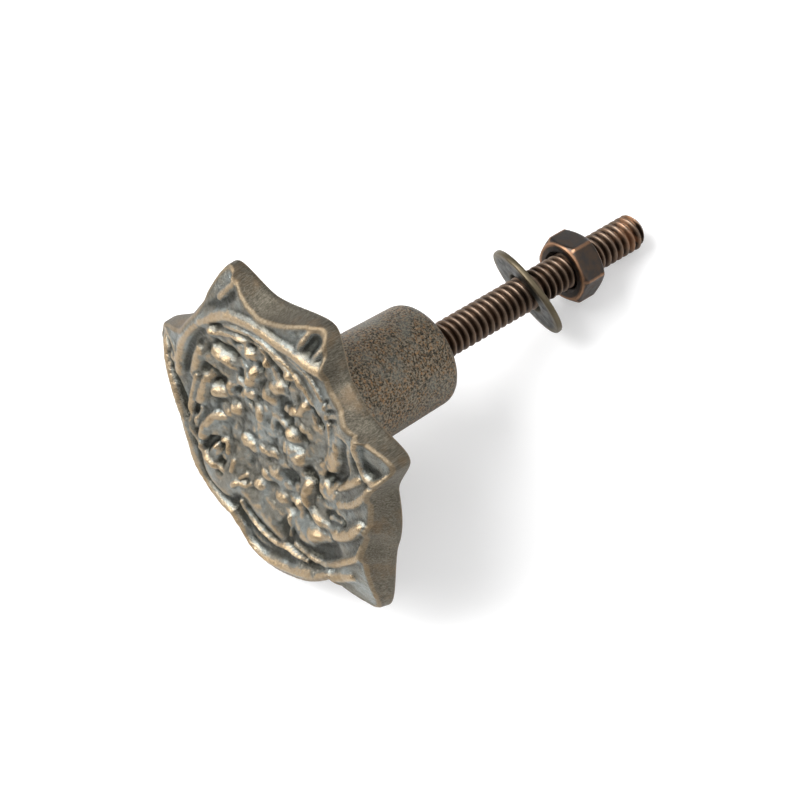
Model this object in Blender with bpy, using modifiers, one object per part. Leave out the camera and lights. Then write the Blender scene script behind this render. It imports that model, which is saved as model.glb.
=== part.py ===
"""Cast rosette cabinet knob with its threaded stud, plain washer and hexagon nut.

The knob stands as it is fitted to a door. The origin is the middle of the stem's end face, which bears on
the door. The rosette looks along -Y into the room, the stud runs along +Y through the door, and +Z is up.
"""

import math
from typing import NamedTuple

import bmesh
import bpy
import numpy as np
from mathutils import Vector, noise

MM = 0.001

# Threaded stud, 3/16 inch by 24 threads to the inch, with a right-hand thread
STUD_DIAMETER = 4.7 * MM
STUD_REACH = 36.1 * MM
STUD_SEAT = 12.0 * MM
STUD_CHAMFER = 0.6 * MM
THREAD_PITCH = 25.4 / 24.0 * MM
THREAD_DEPTH = 0.6 * MM
THREAD_CREST_SHARE = 0.16
THREAD_ROOT_SHARE = 0.12
THREAD_SIDES = 16
HOLE_SIDES = 32

# Clearance between pieces that are screwed together
THREAD_CLEARANCE = 0.3 * MM

# Stem of the casting
STEM_END_RADIUS = 6.69 * MM
STEM_ROOT_RADIUS = 7.1 * MM
STEM_END_ROUND = 1.5 * MM
STEM_FOOT_FILLET = 2.2 * MM
STEM_LENGTH = 20.8 * MM
STEM_FOOT_BITE = 0.2 * MM
STEM_OVERLAP = 1.2 * MM
STEM_SIDES = 64
BORE_MOUTH_CHAMFER = 0.4 * MM
CUTTER_OVERRUN = 1.0 * MM

# Washer, leaning on the stud as it hangs loose
WASHER_DIAMETER = 12.7 * MM
WASHER_HOLE = 5.8 * MM
WASHER_THICKNESS = 0.8 * MM
WASHER_EDGE_ROUND = 0.2 * MM
WASHER_PLACE = 17.3 * MM
WASHER_LEAN = math.radians(24.4)
WASHER_SIDES = 48

# Hexagon nut, 5/16 inch across its flats
NUT_ACROSS_FLATS = 7.94 * MM
NUT_THICKNESS = 3.7 * MM
NUT_PLACE = 24.95 * MM
NUT_TURN = math.radians(0.9)
NUT_CHAMFER_DEPTH = 0.5 * MM
NUT_CHAMFER_SLOPE = 0.62
NUT_COUNTERSINK = 0.45 * MM

# Rosette head of the casting
HEAD_DIAMETER = 45.0 * MM
HEAD_FLOOR_THICKNESS = 2.6 * MM
FRONT_EDGE_ROUND = 0.55 * MM
BACK_EDGE_ROUND = 0.45 * MM
DRESSED_DEPTH = 0.9 * MM

# The head's shape is drawn at 45 units across, with heights counted from the bottom of its dish
DRAWN_DIAMETER = 45.0
FRONT_VALLEY_RADIUS = 17.5
BACK_VALLEY_RADIUS = 18.6
NOSE_ROUND_DEG = 3.0
FLANK_POWER = 1.75
DISH_RADIUS = 8.5
SHOULDER_RADIUS = 15.5
SHOULDER_HEIGHT = 1.15
CROWN_RADIUS = 9.0
CROWN_HEIGHT = 0.35
NOSE_FALL_RADIUS = 17.2
EYE_START = 18.4
EYE_NOSE_GAP = 1.5
EYE_DEPTH = 0.5
LUMP_SIZE = 3.0
LUMP_HEIGHT = 0.4
LUMP_RADIUS = 16.0
EDGE_MARGIN = 1.5
HEAD_CELLS = 60
SPLINE_STEPS = 5
SOFTEN_STEPS = 2
LEAST_STROKE_WIDTH = 1.3
BLEND_POWER = 3.0

# The wall leans further out to the back beside the tip at -24 degrees, and its back edge is dressed away
# between the tips at 90 and 42 degrees
FLARE_DEG = 0.0
FLARE_HALF_WIDTH_DEG = 32.0
FLARE = 1.0
DRESSED_DEG = 66.0
DRESSED_HALF_WIDTH_DEG = 24.0

# The relief is sketched on a plane this high above the dish, as seen along a line that leans by this much
# sideways and up for each unit of depth
SKETCH_HEIGHT = 1.2
SIGHT_LEAN = (0.578, 1.561)


class Tip(NamedTuple):
    """A swept tip of the outline: its place, how far it and its flanks reach, its fall and its eye's half width."""

    angle_deg: float
    radius: float
    left_deg: float
    right_deg: float
    fall: float
    eye: float


class Stroke(NamedTuple):
    """A ridge of the relief, or a hollow where the rise is negative, along a line through a few points."""

    rise: float
    left_width: float
    right_width: float
    points: tuple


TIPS = (
    Tip(193.0, 22.5, 36.0, 15.0, 2.4, 1.2),
    Tip(136.0, 21.8, 22.0, 16.0, 2.4, 1.3),
    Tip(90.0, 21.6, 23.0, 15.0, 2.3, 1.3),
    Tip(42.5, 21.9, 15.0, 13.0, 1.0, 0.0),
    Tip(-24.0, 23.7, 23.0, 12.5, 1.8, 1.2),
    Tip(-80.0, 22.2, 70.0, 30.0, 1.5, 1.3),
    Tip(-111.0, 22.3, 36.0, 30.0, 1.6, 1.3),
)

# Scrolled ridge round the top, with the furrows and folds of leaf inside it
TOP_STROKES = (
    Stroke(0.7, 0.9, 1.1, ((-15.5, 5), (-12.9, 9.4), (-10, 11.8), (-7.2, 13.4), (-4.4, 14.4), (-2.3, 15.4),
                           (0.4, 16.2), (2.9, 17.3), (4.9, 16.8), (7, 16.2), (9.1, 15.4), (10.5, 15))),
    Stroke(0.6, 0.8, 0.8, ((-12, 8), (-10.4, 9.6), (-7.9, 11.2), (-6.5, 12.2), (-3.7, 12.7), (-1, 12.9),
                           (1, 12.6), (3, 11.7))),
    Stroke(-0.8, 0.7, 0.7, ((-12.3, 8.7), (-11.2, 9.7), (-8.7, 11.5), (-7, 12.7), (-5.1, 13), (-2.3, 13.9),
                            (-0.2, 14), (2, 13.4), (3.5, 12.6), (5, 11.5), (5.6, 11))),
    Stroke(-0.6, 0.7, 0.7, ((-9.3, 9.4), (-7.5, 10.7), (-5.7, 11.6), (-4.3, 12), (-2.9, 11.8), (-1.1, 11.4))),
    Stroke(0.5, 0.6, 0.6, ((-6.9, 9.1), (-6.5, 10.2), (-5.4, 10.4), (-4.6, 9.8))),
    Stroke(-0.8, 0.9, 0.9, ((-5.8, 9.5), (-5.4, 9.7))),
    Stroke(-0.6, 0.7, 0.7, ((-12, 17.2), (-12.3, 14.4), (-14.1, 10.9), (-15.3, 7.5))),
)

# Beaded fold at the upper right that curls into a long tongue, and the deep furrow beside it
TONGUE_STROKES = (
    Stroke(0.7, 1.5, 1.7, ((8.5, 13.5), (9, 10.5), (9.3, 8), (8.6, 5.8))),
    Stroke(0.4, 0.5, 0.6, ((-2, 14.8), (0.8, 15.2), (3.6, 14.4), (4.9, 13.4), (6.1, 11.8), (6.9, 10.7),
                           (7.7, 8.6), (8, 6.5), (7.7, 4.7))),
    Stroke(-1.0, 0.9, 0.9, ((9.8, 13.4), (10.5, 10.7), (11.1, 9.6), (11.2, 8.4), (10.9, 6.8), (9.9, 5.4))),
)

# Folds at the left that roll in towards the middle
LEFT_STROKES = (
    Stroke(0.8, 0.9, 0.7, ((-13.7, 5.1), (-11.8, 7.2), (-10.1, 8.3), (-9, 8.6), (-7.2, 8.2), (-6.5, 7.2),
                           (-5.8, 5.1), (-6.3, 4))),
    Stroke(-0.8, 0.9, 0.9, ((-13.5, 3.5), (-12, 5.5), (-10.5, 6.5), (-9, 7.2), (-7.7, 6.8), (-6.5, 5.8))),
    Stroke(0.7, 1.1, 1.1, ((-12.5, 2.5), (-9.5, 3.6), (-8.2, 4.8), (-6.5, 4.4))),
    Stroke(-0.7, 0.9, 0.9, ((-11.4, 0.9), (-8.5, 1.4))),
    Stroke(0.8, 1.1, 1.1, ((-8.7, -0.7), (-10, -3.2))),
    Stroke(0.6, 0.7, 0.7, ((-6.5, 1.2), (-5, 2.75))),
    Stroke(-0.6, 0.6, 0.6, ((-7.4, 1.7), (-6, 3.3), (-4.2, 3))),
)

# Ring and curved ribs at the right, with the thick loop that closes them
RIGHT_STROKES = (
    Stroke(0.5, 0.8, 0.8, ((15.4, 10.4), (15.8, 8.6), (16.2, 6.8), (16.75, 5.1), (18.1, 3), (19, 0.9))),
    Stroke(0.7, 0.8, 0.8, ((16.75, 5.1), (16.6, 3.7), (16.9, 1.6), (17, -0.4), (17, -2.7), (16.5, -4.3),
                           (15.5, -6.3), (14.7, -7.9), (13.6, -9.9), (12.4, -11.3), (10.5, -12.5))),
    Stroke(0.6, 0.6, 0.8, ((13, 8.6), (12.3, 6.8), (11.3, 4.8), (10.2, 3.4))),
    Stroke(0.6, 0.6, 0.8, ((14.7, 8.6), (14.4, 6.5), (13.7, 4.3), (12.7, 2.6), (11.9, 1.6))),
    Stroke(0.9, 0.9, 1.0, ((15.6, 1.4), (15.2, 0.4), (14.7, -1.3), (13.6, -3.1), (11.9, -4.5), (9.8, -5.2),
                           (8, -4.5), (7, -3.1), (6.9, -1.3))),
    Stroke(-0.7, 1.0, 1.0, ((9.3, -3.2), (11.5, -3.4), (12.9, -1.9))),
    Stroke(0.4, 0.5, 0.5, ((11.3, -2), (13, -0.8))),
    Stroke(-0.6, 0.7, 0.7, ((13.7, 1.1), (11.6, -0.4))),
    Stroke(0.7, 1.4, 1.4, ((8.9, 0.5), (10.2, 1.7))),
    Stroke(-0.7, 1.0, 1.0, ((6.9, 2.9), (9.2, 1.6))),
    Stroke(-0.9, 0.9, 0.9, ((15.1, -3.1), (14.4, -6.3), (13.6, -8.5), (11.9, -10.4))),
    Stroke(0.5, 0.7, 0.7, ((10.6, 12.6), (11.9, 10.4), (13.3, 9.3), (14.4, 10), (15.4, 11.2), (16.1, 12.7))),
    Stroke(0.6, 0.7, 0.8, ((10.1, 14.4), (11.9, 14.7), (14, 15.7), (16.3, 16.8))),
    Stroke(-0.7, 1.2, 1.2, ((12.2, 12.2), (15.2, 13.2))),
)

# Rim round the left and the bottom, outside the fan
RIM_STROKES = (
    Stroke(0.5, 0.9, 1.1, ((-15.2, 6.5), (-16.3, 4), (-17, 1.3), (-17, -1.1), (-16.5, -3.7), (-15.5, -6.2),
                           (-14.3, -8.5), (-12.9, -10.6), (-11.4, -13), (-9.6, -15.1), (-7.3, -16.6),
                           (-4.8, -17.5), (-1.9, -17.9), (3.2, -18.7), (6.4, -18.3), (9.3, -16.9), (12.1, -15),
                           (14.9, -12.1), (17.3, -8.8))),
)

# Deep hollows at the bottom with the thin folds between them
BOTTOM_STROKES = (
    Stroke(-1.2, 1.7, 1.7, ((7.6, -9.2), (8.6, -11.2), (10.6, -11.8))),
    Stroke(0.5, 0.5, 0.5, ((6.3, -8.9), (6.5, -10.6), (6.6, -11.8), (6.9, -12.8))),
    Stroke(0.6, 0.6, 0.6, ((8, -13.4), (9.1, -13.1), (10.5, -12.5), (11.9, -11.7))),
    Stroke(0.7, 1.2, 1.2, ((9.2, -8.2), (10.8, -9.2))),
    Stroke(-1.2, 1.8, 1.8, ((-0.4, -14.8), (2.5, -14.6), (5.5, -14.6), (8, -14.4))),
    Stroke(0.7, 0.6, 0.6, ((-1.2, -16.3), (-0.2, -17.1), (2.2, -17.5), (4.3, -17.2), (5.8, -16.6), (7, -15.4),
                           (9.1, -14.5), (10.5, -13.6))),
    Stroke(0.5, 0.6, 0.6, ((-1.6, -12.4), (-2.6, -13.5), (-3, -14.5))),
    Stroke(-0.7, 0.6, 0.6, ((12.6, -12.4), (11.2, -14.2), (9.1, -16), (6.3, -17.5), (3.6, -18.6), (-0.6, -18.6))),
)

# Fan of finger-like folds at the lower left, inside the rim
FAN_STROKES = (
    Stroke(-0.8, 0.8, 0.8, ((-15, -1.5), (-15.1, -4.5), (-14.8, -7.5), (-13.7, -9.6), (-12.6, -11.7),
                            (-10.7, -14.2), (-8.7, -15.4))),
    Stroke(0.6, 0.7, 0.7, ((-13.4, -4), (-13.2, -6.3), (-13, -8.1), (-12.4, -10.8), (-11.2, -13.2),
                           (-8.7, -14.7), (-7.2, -15), (-5.7, -14.7))),
    Stroke(0.6, 1.0, 1.0, ((-11.8, -1.6), (-12, -4.6), (-11.9, -7.2))),
    Stroke(0.5, 0.6, 0.6, ((-11.2, -8.2), (-11.2, -12.2))),
    Stroke(-0.6, 0.7, 0.7, ((-10.8, -6.6), (-10.7, -7.2))),
    Stroke(0.7, 0.9, 0.8, ((-8, -5.5), (-9.1, -7.1), (-9.7, -9), (-10, -11), (-9.8, -12.4))),
    Stroke(-0.7, 0.6, 0.6, ((-7.9, -12.4), (-7.5, -9.6), (-6.8, -8.2), (-5.7, -7.5), (-4.7, -8.2), (-5, -10.3),
                            (-4.8, -13))),
    Stroke(0.6, 0.5, 0.5, ((-7.5, -11.8), (-6.6, -9.3), (-5.9, -8.5), (-5.4, -9.6), (-5.7, -11), (-5.9, -12.4))),
    Stroke(0.5, 0.6, 0.6, ((-3.9, -10.3), (-3.9, -12.4))),
    Stroke(0.4, 0.5, 0.5, ((-1.5, -9.9), (-2.2, -11.6))),
    Stroke(0.4, 0.5, 0.5, ((-0.5, -10.7), (-1.1, -12))),
)

# Small buds and pits in the middle of the dish
BUD_STROKES = (
    Stroke(0.8, 1.3, 1.3, ((-2.4, 7.7), (-2, 8.1))),
    Stroke(0.6, 0.8, 0.8, ((-1.9, 10.4), (-1.3, 11.3))),
    Stroke(0.7, 1.2, 1.2, ((-3, 5.4), (-2.5, 5.6))),
    Stroke(-0.8, 1.0, 1.0, ((0.5, 9.1), (1.4, 7.6))),
    Stroke(0.8, 0.8, 0.8, ((2.2, 9.9), (2, 8.5), (1, 7.2), (0, 6))),
    Stroke(0.7, 1.1, 1.1, ((3.6, 6.0), (4.0, 6.2))),
    Stroke(-0.6, 0.9, 0.9, ((4.6, 7.5), (4.8, 7.7))),
    Stroke(0.7, 1.1, 1.1, ((2.1, 3.6), (2.5, 3.8))),
    Stroke(-0.6, 0.8, 0.8, ((0.8, 4.2), (1.2, 4.4))),
    Stroke(1.0, 1.7, 1.7, ((2.8, 0.7), (3.8, 0.9))),
    Stroke(-0.8, 1.1, 1.1, ((4.7, -1.3), (5.1, -0.9))),
    Stroke(0.7, 1.1, 1.1, ((-6.8, -2.5), (-6.4, -2.3))),
    Stroke(0.6, 1.0, 1.0, ((-7.9, -3.9), (-7.5, -3.7))),
    Stroke(0.8, 1.3, 1.3, ((-3.4, -5.3), (-2.6, -5.1))),
    Stroke(0.7, 1.1, 1.1, ((1.8, -5.1), (2.2, -4.9))),
    Stroke(0.7, 1.1, 1.1, ((6.1, -5.9), (6.5, -5.5))),
    Stroke(-0.7, 0.8, 0.8, ((6.9, -4.9), (7.1, -4.5))),
    Stroke(0.7, 1.0, 1.0, ((0.7, -6.9), (1.1, -6.7))),
    Stroke(0.6, 1.0, 1.0, ((3.9, -7.5), (4.3, -7.3))),
    Stroke(0.6, 0.9, 0.9, ((0.4, -9.4), (0.8, -9.2))),
    Stroke(0.5, 0.9, 0.9, ((0.9, -2.3), (-0.6, -3.2))),
    Stroke(0.5, 0.8, 0.8, ((5.2, -3.4), (5.6, -3.4))),
    Stroke(0.5, 1.0, 1.0, ((-3.3, 1.6), (-2.4, 0.2))),
)

STROKES = (
    TOP_STROKES + TONGUE_STROKES + LEFT_STROKES + RIGHT_STROKES + RIM_STROKES
    + BOTTOM_STROKES + FAN_STROKES + BUD_STROKES
)


def clear_scene():
    """Removes every object, so that the model starts from an empty scene."""
    for old in list(bpy.data.objects):
        bpy.data.objects.remove(old)


def new_collection(name):
    """Returns a new collection that is linked to the scene."""
    made = bpy.data.collections.new(name)
    bpy.context.scene.collection.children.link(made)
    return made


def metal(name, colour, roughness):
    """Returns a plain metal material of this colour."""
    made = bpy.data.materials.new(name)
    made.use_nodes = True
    shader = made.node_tree.nodes["Principled BSDF"]
    shader.inputs["Base Color"].default_value = (*colour, 1.0)
    shader.inputs["Metallic"].default_value = 1.0
    shader.inputs["Roughness"].default_value = roughness
    return made


def add_object(name, mesh, collection, parent=None, material=None):
    """Returns a new object with this mesh, in this collection."""
    made = bpy.data.objects.new(name, mesh)
    made.parent = parent
    if material:
        mesh.materials.append(material)
    collection.objects.link(made)
    return made


def arc(centre, radius, start_deg, end_deg, steps):
    """Returns points along an arc, in a profile's (radius, height) plane."""
    angles = [math.radians(start_deg + (end_deg - start_deg) * i / steps) for i in range(steps + 1)]
    return [(centre[0] + radius * math.cos(a), centre[1] + radius * math.sin(a)) for a in angles]


def add_turned(name, profile, sides, collection, parent, material=None, ring=False):
    """Returns a piece turned about its own Z axis from a profile that runs down its outer side."""
    mesh = bpy.data.meshes.new(name)
    edges = [(i, i + 1) for i in range(len(profile) - 1)]
    if ring:
        edges.append((len(profile) - 1, 0))
    mesh.from_pydata([(radius, 0.0, height) for radius, height in profile], edges, [])
    made = add_object(name, mesh, collection, parent, material)
    turn = made.modifiers.new("turn", "SCREW")
    turn.axis = "Z"
    turn.steps = sides
    turn.render_steps = sides
    turn.use_merge_vertices = True
    turn.merge_threshold = 1e-6
    turn.use_smooth_shade = True
    return made


def add_boolean(target, operation, other):
    """Joins, cuts or trims the target with another object, which then only guides the shape."""
    step = target.modifiers.new(other.name, "BOOLEAN")
    step.operation = operation
    step.solver = "EXACT"
    step.object = other
    other.hide_render = True
    other.display_type = "WIRE"


def smooth(value):
    """Returns 0 below 0, 1 above 1 and an S-shaped rise between."""
    value = np.clip(value, 0.0, 1.0)
    return value * value * (3.0 - 2.0 * value)


def hump(value):
    """Returns 1 at 0, falling smoothly to 0 at 1 on either side."""
    return np.clip(1.0 - value * value, 0.0, 1.0) ** 2


def turned_by(angle, target_deg):
    """Returns how far each angle in radians lies from a target in degrees, from -180 to 180 degrees."""
    return (np.degrees(angle) - target_deg + 180.0) % 360.0 - 180.0


def outline_radius(angle, valley):
    """Returns the radius of the head's outline at each angle, for this radius between its tips."""
    radius = np.full_like(angle, valley)
    for tip in TIPS:
        off = turned_by(angle, tip.angle_deg)
        along = np.hypot(off, NOSE_ROUND_DEG) - NOSE_ROUND_DEG
        flank = np.where(off > 0.0, tip.left_deg, tip.right_deg)
        shape = np.clip(1.0 - along / flank, 0.0, 1.0) ** FLANK_POWER
        radius = np.maximum(radius, valley + (tip.radius - valley) * shape)
    return radius


def dish_height(x, z):
    """Returns the height of the plain dish, with its falling tips, before it is carved."""
    radius = np.hypot(x, z)
    angle = np.arctan2(z, x)
    height = SHOULDER_HEIGHT * smooth((radius - DISH_RADIUS) / (SHOULDER_RADIUS - DISH_RADIUS))
    height += CROWN_HEIGHT * (1.0 - smooth(radius / CROWN_RADIUS))
    for tip in TIPS:
        near = hump(turned_by(angle, tip.angle_deg) / max(tip.left_deg, tip.right_deg))
        along = np.clip((radius - NOSE_FALL_RADIUS) / (tip.radius - NOSE_FALL_RADIUS), 0.0, 1.0)
        height -= tip.fall * near * along**1.5
    return height


def spline(points):
    """Returns points along a smooth line through these points."""
    ends = [2 * points[0] - points[1], *points, 2 * points[-1] - points[-2]]
    line = [points[0]]
    for before, start, end, after in zip(ends, ends[1:], ends[2:], ends[3:]):
        for i in range(1, SPLINE_STEPS + 1):
            t = i / SPLINE_STEPS
            bend = (2 * before - 5 * start + 4 * end - after) * t**2
            twist = (3 * start - before - 3 * end + after) * t**3
            line.append(0.5 * (2 * start + (end - before) * t + bend + twist))
    return np.array(line)


def distance_to(line, x, z, left_width, right_width):
    """Returns each place's distance from a line, in widths, which differ on its left and right sides."""
    nearest = np.full(x.shape, np.inf)
    for start, end in zip(line, line[1:]):
        run = end - start
        along = np.clip(((x - start[0]) * run[0] + (z - start[1]) * run[1]) / (run @ run), 0.0, 1.0)
        off_x = x - start[0] - along * run[0]
        off_z = z - start[1] - along * run[1]
        left_side = run[0] * off_z - run[1] * off_x > 0.0
        nearest = np.minimum(nearest, np.hypot(off_x, off_z) / np.where(left_side, left_width, right_width))
    return nearest


def stroke_lift(stroke, x, z):
    """Returns how much a stroke lifts or sinks the surface at each place."""
    line = []
    for point in stroke.points:
        place = np.array(point, float)
        level = dish_height(place[0], place[1]) + stroke.rise
        line.append(place + (level - SKETCH_HEIGHT) * np.array(SIGHT_LEAN))
    left_width = max(stroke.left_width, LEAST_STROKE_WIDTH)
    right_width = max(stroke.right_width, LEAST_STROKE_WIDTH)
    return stroke.rise * hump(distance_to(spline(line), x, z, left_width, right_width))


def eye_lift(tip, x, z):
    """Returns how much the long eye that runs out along a swept tip sinks the surface at each place."""
    angle = math.radians(tip.angle_deg)
    way = np.array([math.cos(angle), math.sin(angle)])
    line = np.array([way * EYE_START, way * (tip.radius - EYE_NOSE_GAP)])
    return -EYE_DEPTH * hump(distance_to(line, x, z, tip.eye, tip.eye))


def lumps(x, z):
    """Returns the uneven swelling of the cast leaves, which fades out towards the rim."""
    places = zip(np.ravel(x) / LUMP_SIZE, np.ravel(z) / LUMP_SIZE)
    swell = np.array([noise.noise(Vector((a, b, 0.5))) for a, b in places]).reshape(np.shape(x))
    return LUMP_HEIGHT * swell * (1.0 - smooth((np.hypot(x, z) - LUMP_RADIUS + 3.0) / 3.0))


def head_height(x, z):
    """Returns the carved height at each place of the head's front."""
    lifts = [stroke_lift(stroke, x, z) for stroke in STROKES]
    lifts += [eye_lift(tip, x, z) for tip in TIPS if tip.eye]
    ridges = sum(np.maximum(lift, 0.0) ** BLEND_POWER for lift in lifts) ** (1.0 / BLEND_POWER)
    hollows = sum(np.maximum(-lift, 0.0) ** BLEND_POWER for lift in lifts) ** (1.0 / BLEND_POWER)
    inset = outline_radius(np.arctan2(z, x), FRONT_VALLEY_RADIUS) - np.hypot(x, z)
    return dish_height(x, z) + ridges - hollows * smooth(inset / EDGE_MARGIN) + lumps(x, z)


def disc_place(u, v):
    """Returns the polar place on a unit disc of a point on a square from -1 to 1, keeping rows evenly spaced."""
    wide = np.abs(u) >= np.abs(v)
    with np.errstate(divide="ignore", invalid="ignore"):
        turn_wide = np.where(u != 0.0, v / u, 0.0) * math.pi / 4.0
        turn_tall = math.pi / 2.0 - np.where(v != 0.0, u / v, 0.0) * math.pi / 4.0
    rho = np.where(wide, u, v)
    angle = np.where(wide, turn_wide, turn_tall)
    return np.abs(rho), np.where(rho < 0.0, angle + math.pi, angle)


def back_radius(angle):
    """Returns the radius of the head's back edge at each angle."""
    flare = FLARE * hump(turned_by(angle, FLARE_DEG) / FLARE_HALF_WIDTH_DEG)
    return outline_radius(angle, BACK_VALLEY_RADIUS) + flare


def add_head(collection, material):
    """Returns the rosette head: a carved front, a wall along the outline and a flat back."""
    unit = HEAD_DIAMETER / DRAWN_DIAMETER
    front_round = FRONT_EDGE_ROUND / unit
    back_round = BACK_EDGE_ROUND / unit
    dressed_depth = DRESSED_DEPTH / unit
    back_plane = -STEM_LENGTH / unit
    dish_plane = back_plane - HEAD_FLOOR_THICKNESS / unit
    work = bmesh.new()
    bmesh.ops.create_grid(work, x_segments=HEAD_CELLS, y_segments=HEAD_CELLS, size=1.0)
    flat = np.array([vert.co for vert in work.verts])
    rho, angle = disc_place(flat[:, 0], flat[:, 1])
    edge = outline_radius(angle, FRONT_VALLEY_RADIUS) - front_round
    radius = rho * (FRONT_VALLEY_RADIUS + (edge - FRONT_VALLEY_RADIUS) * rho**3)
    x = radius * np.cos(angle)
    z = radius * np.sin(angle)
    depth = dish_plane - head_height(x, z)
    for vert, place in zip(work.verts, np.stack([x, depth, z], axis=1) * unit):
        vert.co = place
    for _ in range(SOFTEN_STEPS):
        bmesh.ops.smooth_vert(work, verts=work.verts, factor=0.5, use_axis_y=True)
    rim = [edge for edge in work.edges if edge.is_boundary]
    angles_of = {vert: math.atan2(vert.co.z, vert.co.x) for edge in rim for vert in edge.verts}
    verts = list(angles_of)
    angles = np.array([angles_of[vert] for vert in verts])
    front = np.array([vert.co.y for vert in verts]) / unit
    front_edge = outline_radius(angles, FRONT_VALLEY_RADIUS)
    back_edge = back_radius(angles)
    dressed = back_plane - dressed_depth * hump(turned_by(angles, DRESSED_DEG) / DRESSED_HALF_WIDTH_DEG)
    turn = math.cos(math.pi / 4.0)
    rings = (
        (front_edge - front_round * (1.0 - turn), front + front_round * (1.0 - turn)),
        (front_edge, front + front_round),
        (back_edge, dressed - back_round),
        (back_edge - back_round, dressed),
        (back_edge - back_round - dressed_depth * 2.0, np.full_like(angles, back_plane)),
    )
    for radius, depth in rings:
        grown = bmesh.ops.extrude_edge_only(work, edges=rim)["geom"]
        rim = [item for item in grown if isinstance(item, bmesh.types.BMEdge)]
        rim = [item for item in rim if item.is_boundary]
        following = {vert.co.copy().freeze(): vert for edge in rim for vert in edge.verts}
        verts = [following[vert.co.copy().freeze()] for vert in verts]
        ring = np.stack([radius * np.cos(angles), depth, radius * np.sin(angles)], axis=1) * unit
        for vert, place in zip(verts, ring):
            vert.co = place
    bmesh.ops.contextual_create(work, geom=rim)
    bmesh.ops.recalc_face_normals(work, faces=work.faces)
    mesh = bpy.data.meshes.new("knob_casting")
    work.to_mesh(mesh)
    work.free()
    mesh.shade_smooth()
    mesh.set_sharp_from_angle(angle=math.radians(50.0))
    return add_object("knob_casting", mesh, collection, material=material)


def add_stem(collection, parent):
    """Returns the stem with its flared foot, reaching into the head."""
    foot_radius = STEM_ROOT_RADIUS + STEM_FOOT_FILLET
    foot_height = -STEM_LENGTH - STEM_FOOT_BITE + STEM_FOOT_FILLET
    end_round = arc((STEM_END_RADIUS - STEM_END_ROUND, -STEM_END_ROUND), STEM_END_ROUND, 90.0, 0.0, 5)
    foot = arc((foot_radius, foot_height), STEM_FOOT_FILLET, 180.0, 270.0, 6)
    root = -STEM_LENGTH - STEM_OVERLAP
    profile = [(0.0, 0.0), *end_round, *foot, (foot_radius, root), (0.0, root)]
    return add_turned("stem", profile, STEM_SIDES, collection, parent)


def add_stud_hole(collection, parent):
    """Returns the cutter of the blind hole in the stem, with a small chamfer at its mouth."""
    radius = STUD_DIAMETER / 2.0 + THREAD_CLEARANCE
    mouth = radius + BORE_MOUTH_CHAMFER + CUTTER_OVERRUN
    bottom = -STUD_SEAT - THREAD_CLEARANCE
    profile = [(0.0, CUTTER_OVERRUN), (mouth, CUTTER_OVERRUN), (radius, -BORE_MOUTH_CHAMFER)]
    profile += [(radius, bottom), (0.0, bottom)]
    return add_turned("stud_hole", profile, HOLE_SIDES, collection, parent)


def add_casting(parts, cutters, axis):
    """Returns the knob casting: head and stem in one, with the blind hole for the stud."""
    casting = add_head(parts, metal("bronze", (0.23, 0.19, 0.11), 0.35))
    add_boolean(casting, "UNION", add_stem(cutters, axis))
    add_boolean(casting, "DIFFERENCE", add_stud_hole(cutters, axis))
    return casting


def thread_profile():
    """Returns the (radius, height) points along the thread, from the axis out, past both ends and back."""
    crest = STUD_DIAMETER / 2.0
    root = crest - THREAD_DEPTH
    half_crest = THREAD_PITCH * THREAD_CREST_SHARE / 2.0
    half_root = THREAD_PITCH * THREAD_ROOT_SHARE / 2.0
    first = math.floor(-STUD_SEAT / THREAD_PITCH) - 2
    last = math.ceil(STUD_REACH / THREAD_PITCH) + 1
    line = [(0.0, (first - 1) * THREAD_PITCH)]
    for turn in range(first, last):
        top = turn * THREAD_PITCH
        foot = top + THREAD_PITCH / 2.0
        line += [(crest, top - half_crest), (crest, top + half_crest)]
        line += [(root, foot - half_root), (root, foot + half_root)]
    line.append((0.0, (last + 1) * THREAD_PITCH))
    return line


def add_stud(parts, cutters, axis):
    """Returns the stud, wound as a screw thread and trimmed to its chamfered ends."""
    work = bmesh.new()
    verts = [work.verts.new((radius, 0.0, height)) for radius, height in thread_profile()]
    edges = [work.edges.new(pair) for pair in zip(verts, verts[1:])]
    climb = (0.0, 0.0, THREAD_PITCH / THREAD_SIDES)
    bmesh.ops.spin(work, geom=verts + edges, cent=(0.0, 0.0, 0.0), axis=(0.0, 0.0, 1.0), dvec=climb,
                   angle=2.0 * math.pi, steps=THREAD_SIDES)
    bmesh.ops.remove_doubles(work, verts=work.verts, dist=1e-6)
    bmesh.ops.holes_fill(work, edges=[edge for edge in work.edges if edge.is_boundary], sides=0)
    bmesh.ops.recalc_face_normals(work, faces=work.faces)
    mesh = bpy.data.meshes.new("threaded_stud")
    work.to_mesh(mesh)
    work.free()
    stud = add_object("threaded_stud", mesh, parts, axis, metal("copper_steel", (0.2, 0.11, 0.07), 0.4))
    radius = STUD_DIAMETER / 2.0
    tip = radius - STUD_CHAMFER
    wide = radius + CUTTER_OVERRUN
    bevel = STUD_CHAMFER + CUTTER_OVERRUN
    profile = [(0.0, STUD_REACH), (tip, STUD_REACH), (wide, STUD_REACH - bevel)]
    profile += [(wide, -STUD_SEAT + bevel), (tip, -STUD_SEAT), (0.0, -STUD_SEAT)]
    add_boolean(stud, "INTERSECT", add_turned("stud_ends", profile, HOLE_SIDES, cutters, axis))
    return stud


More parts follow.
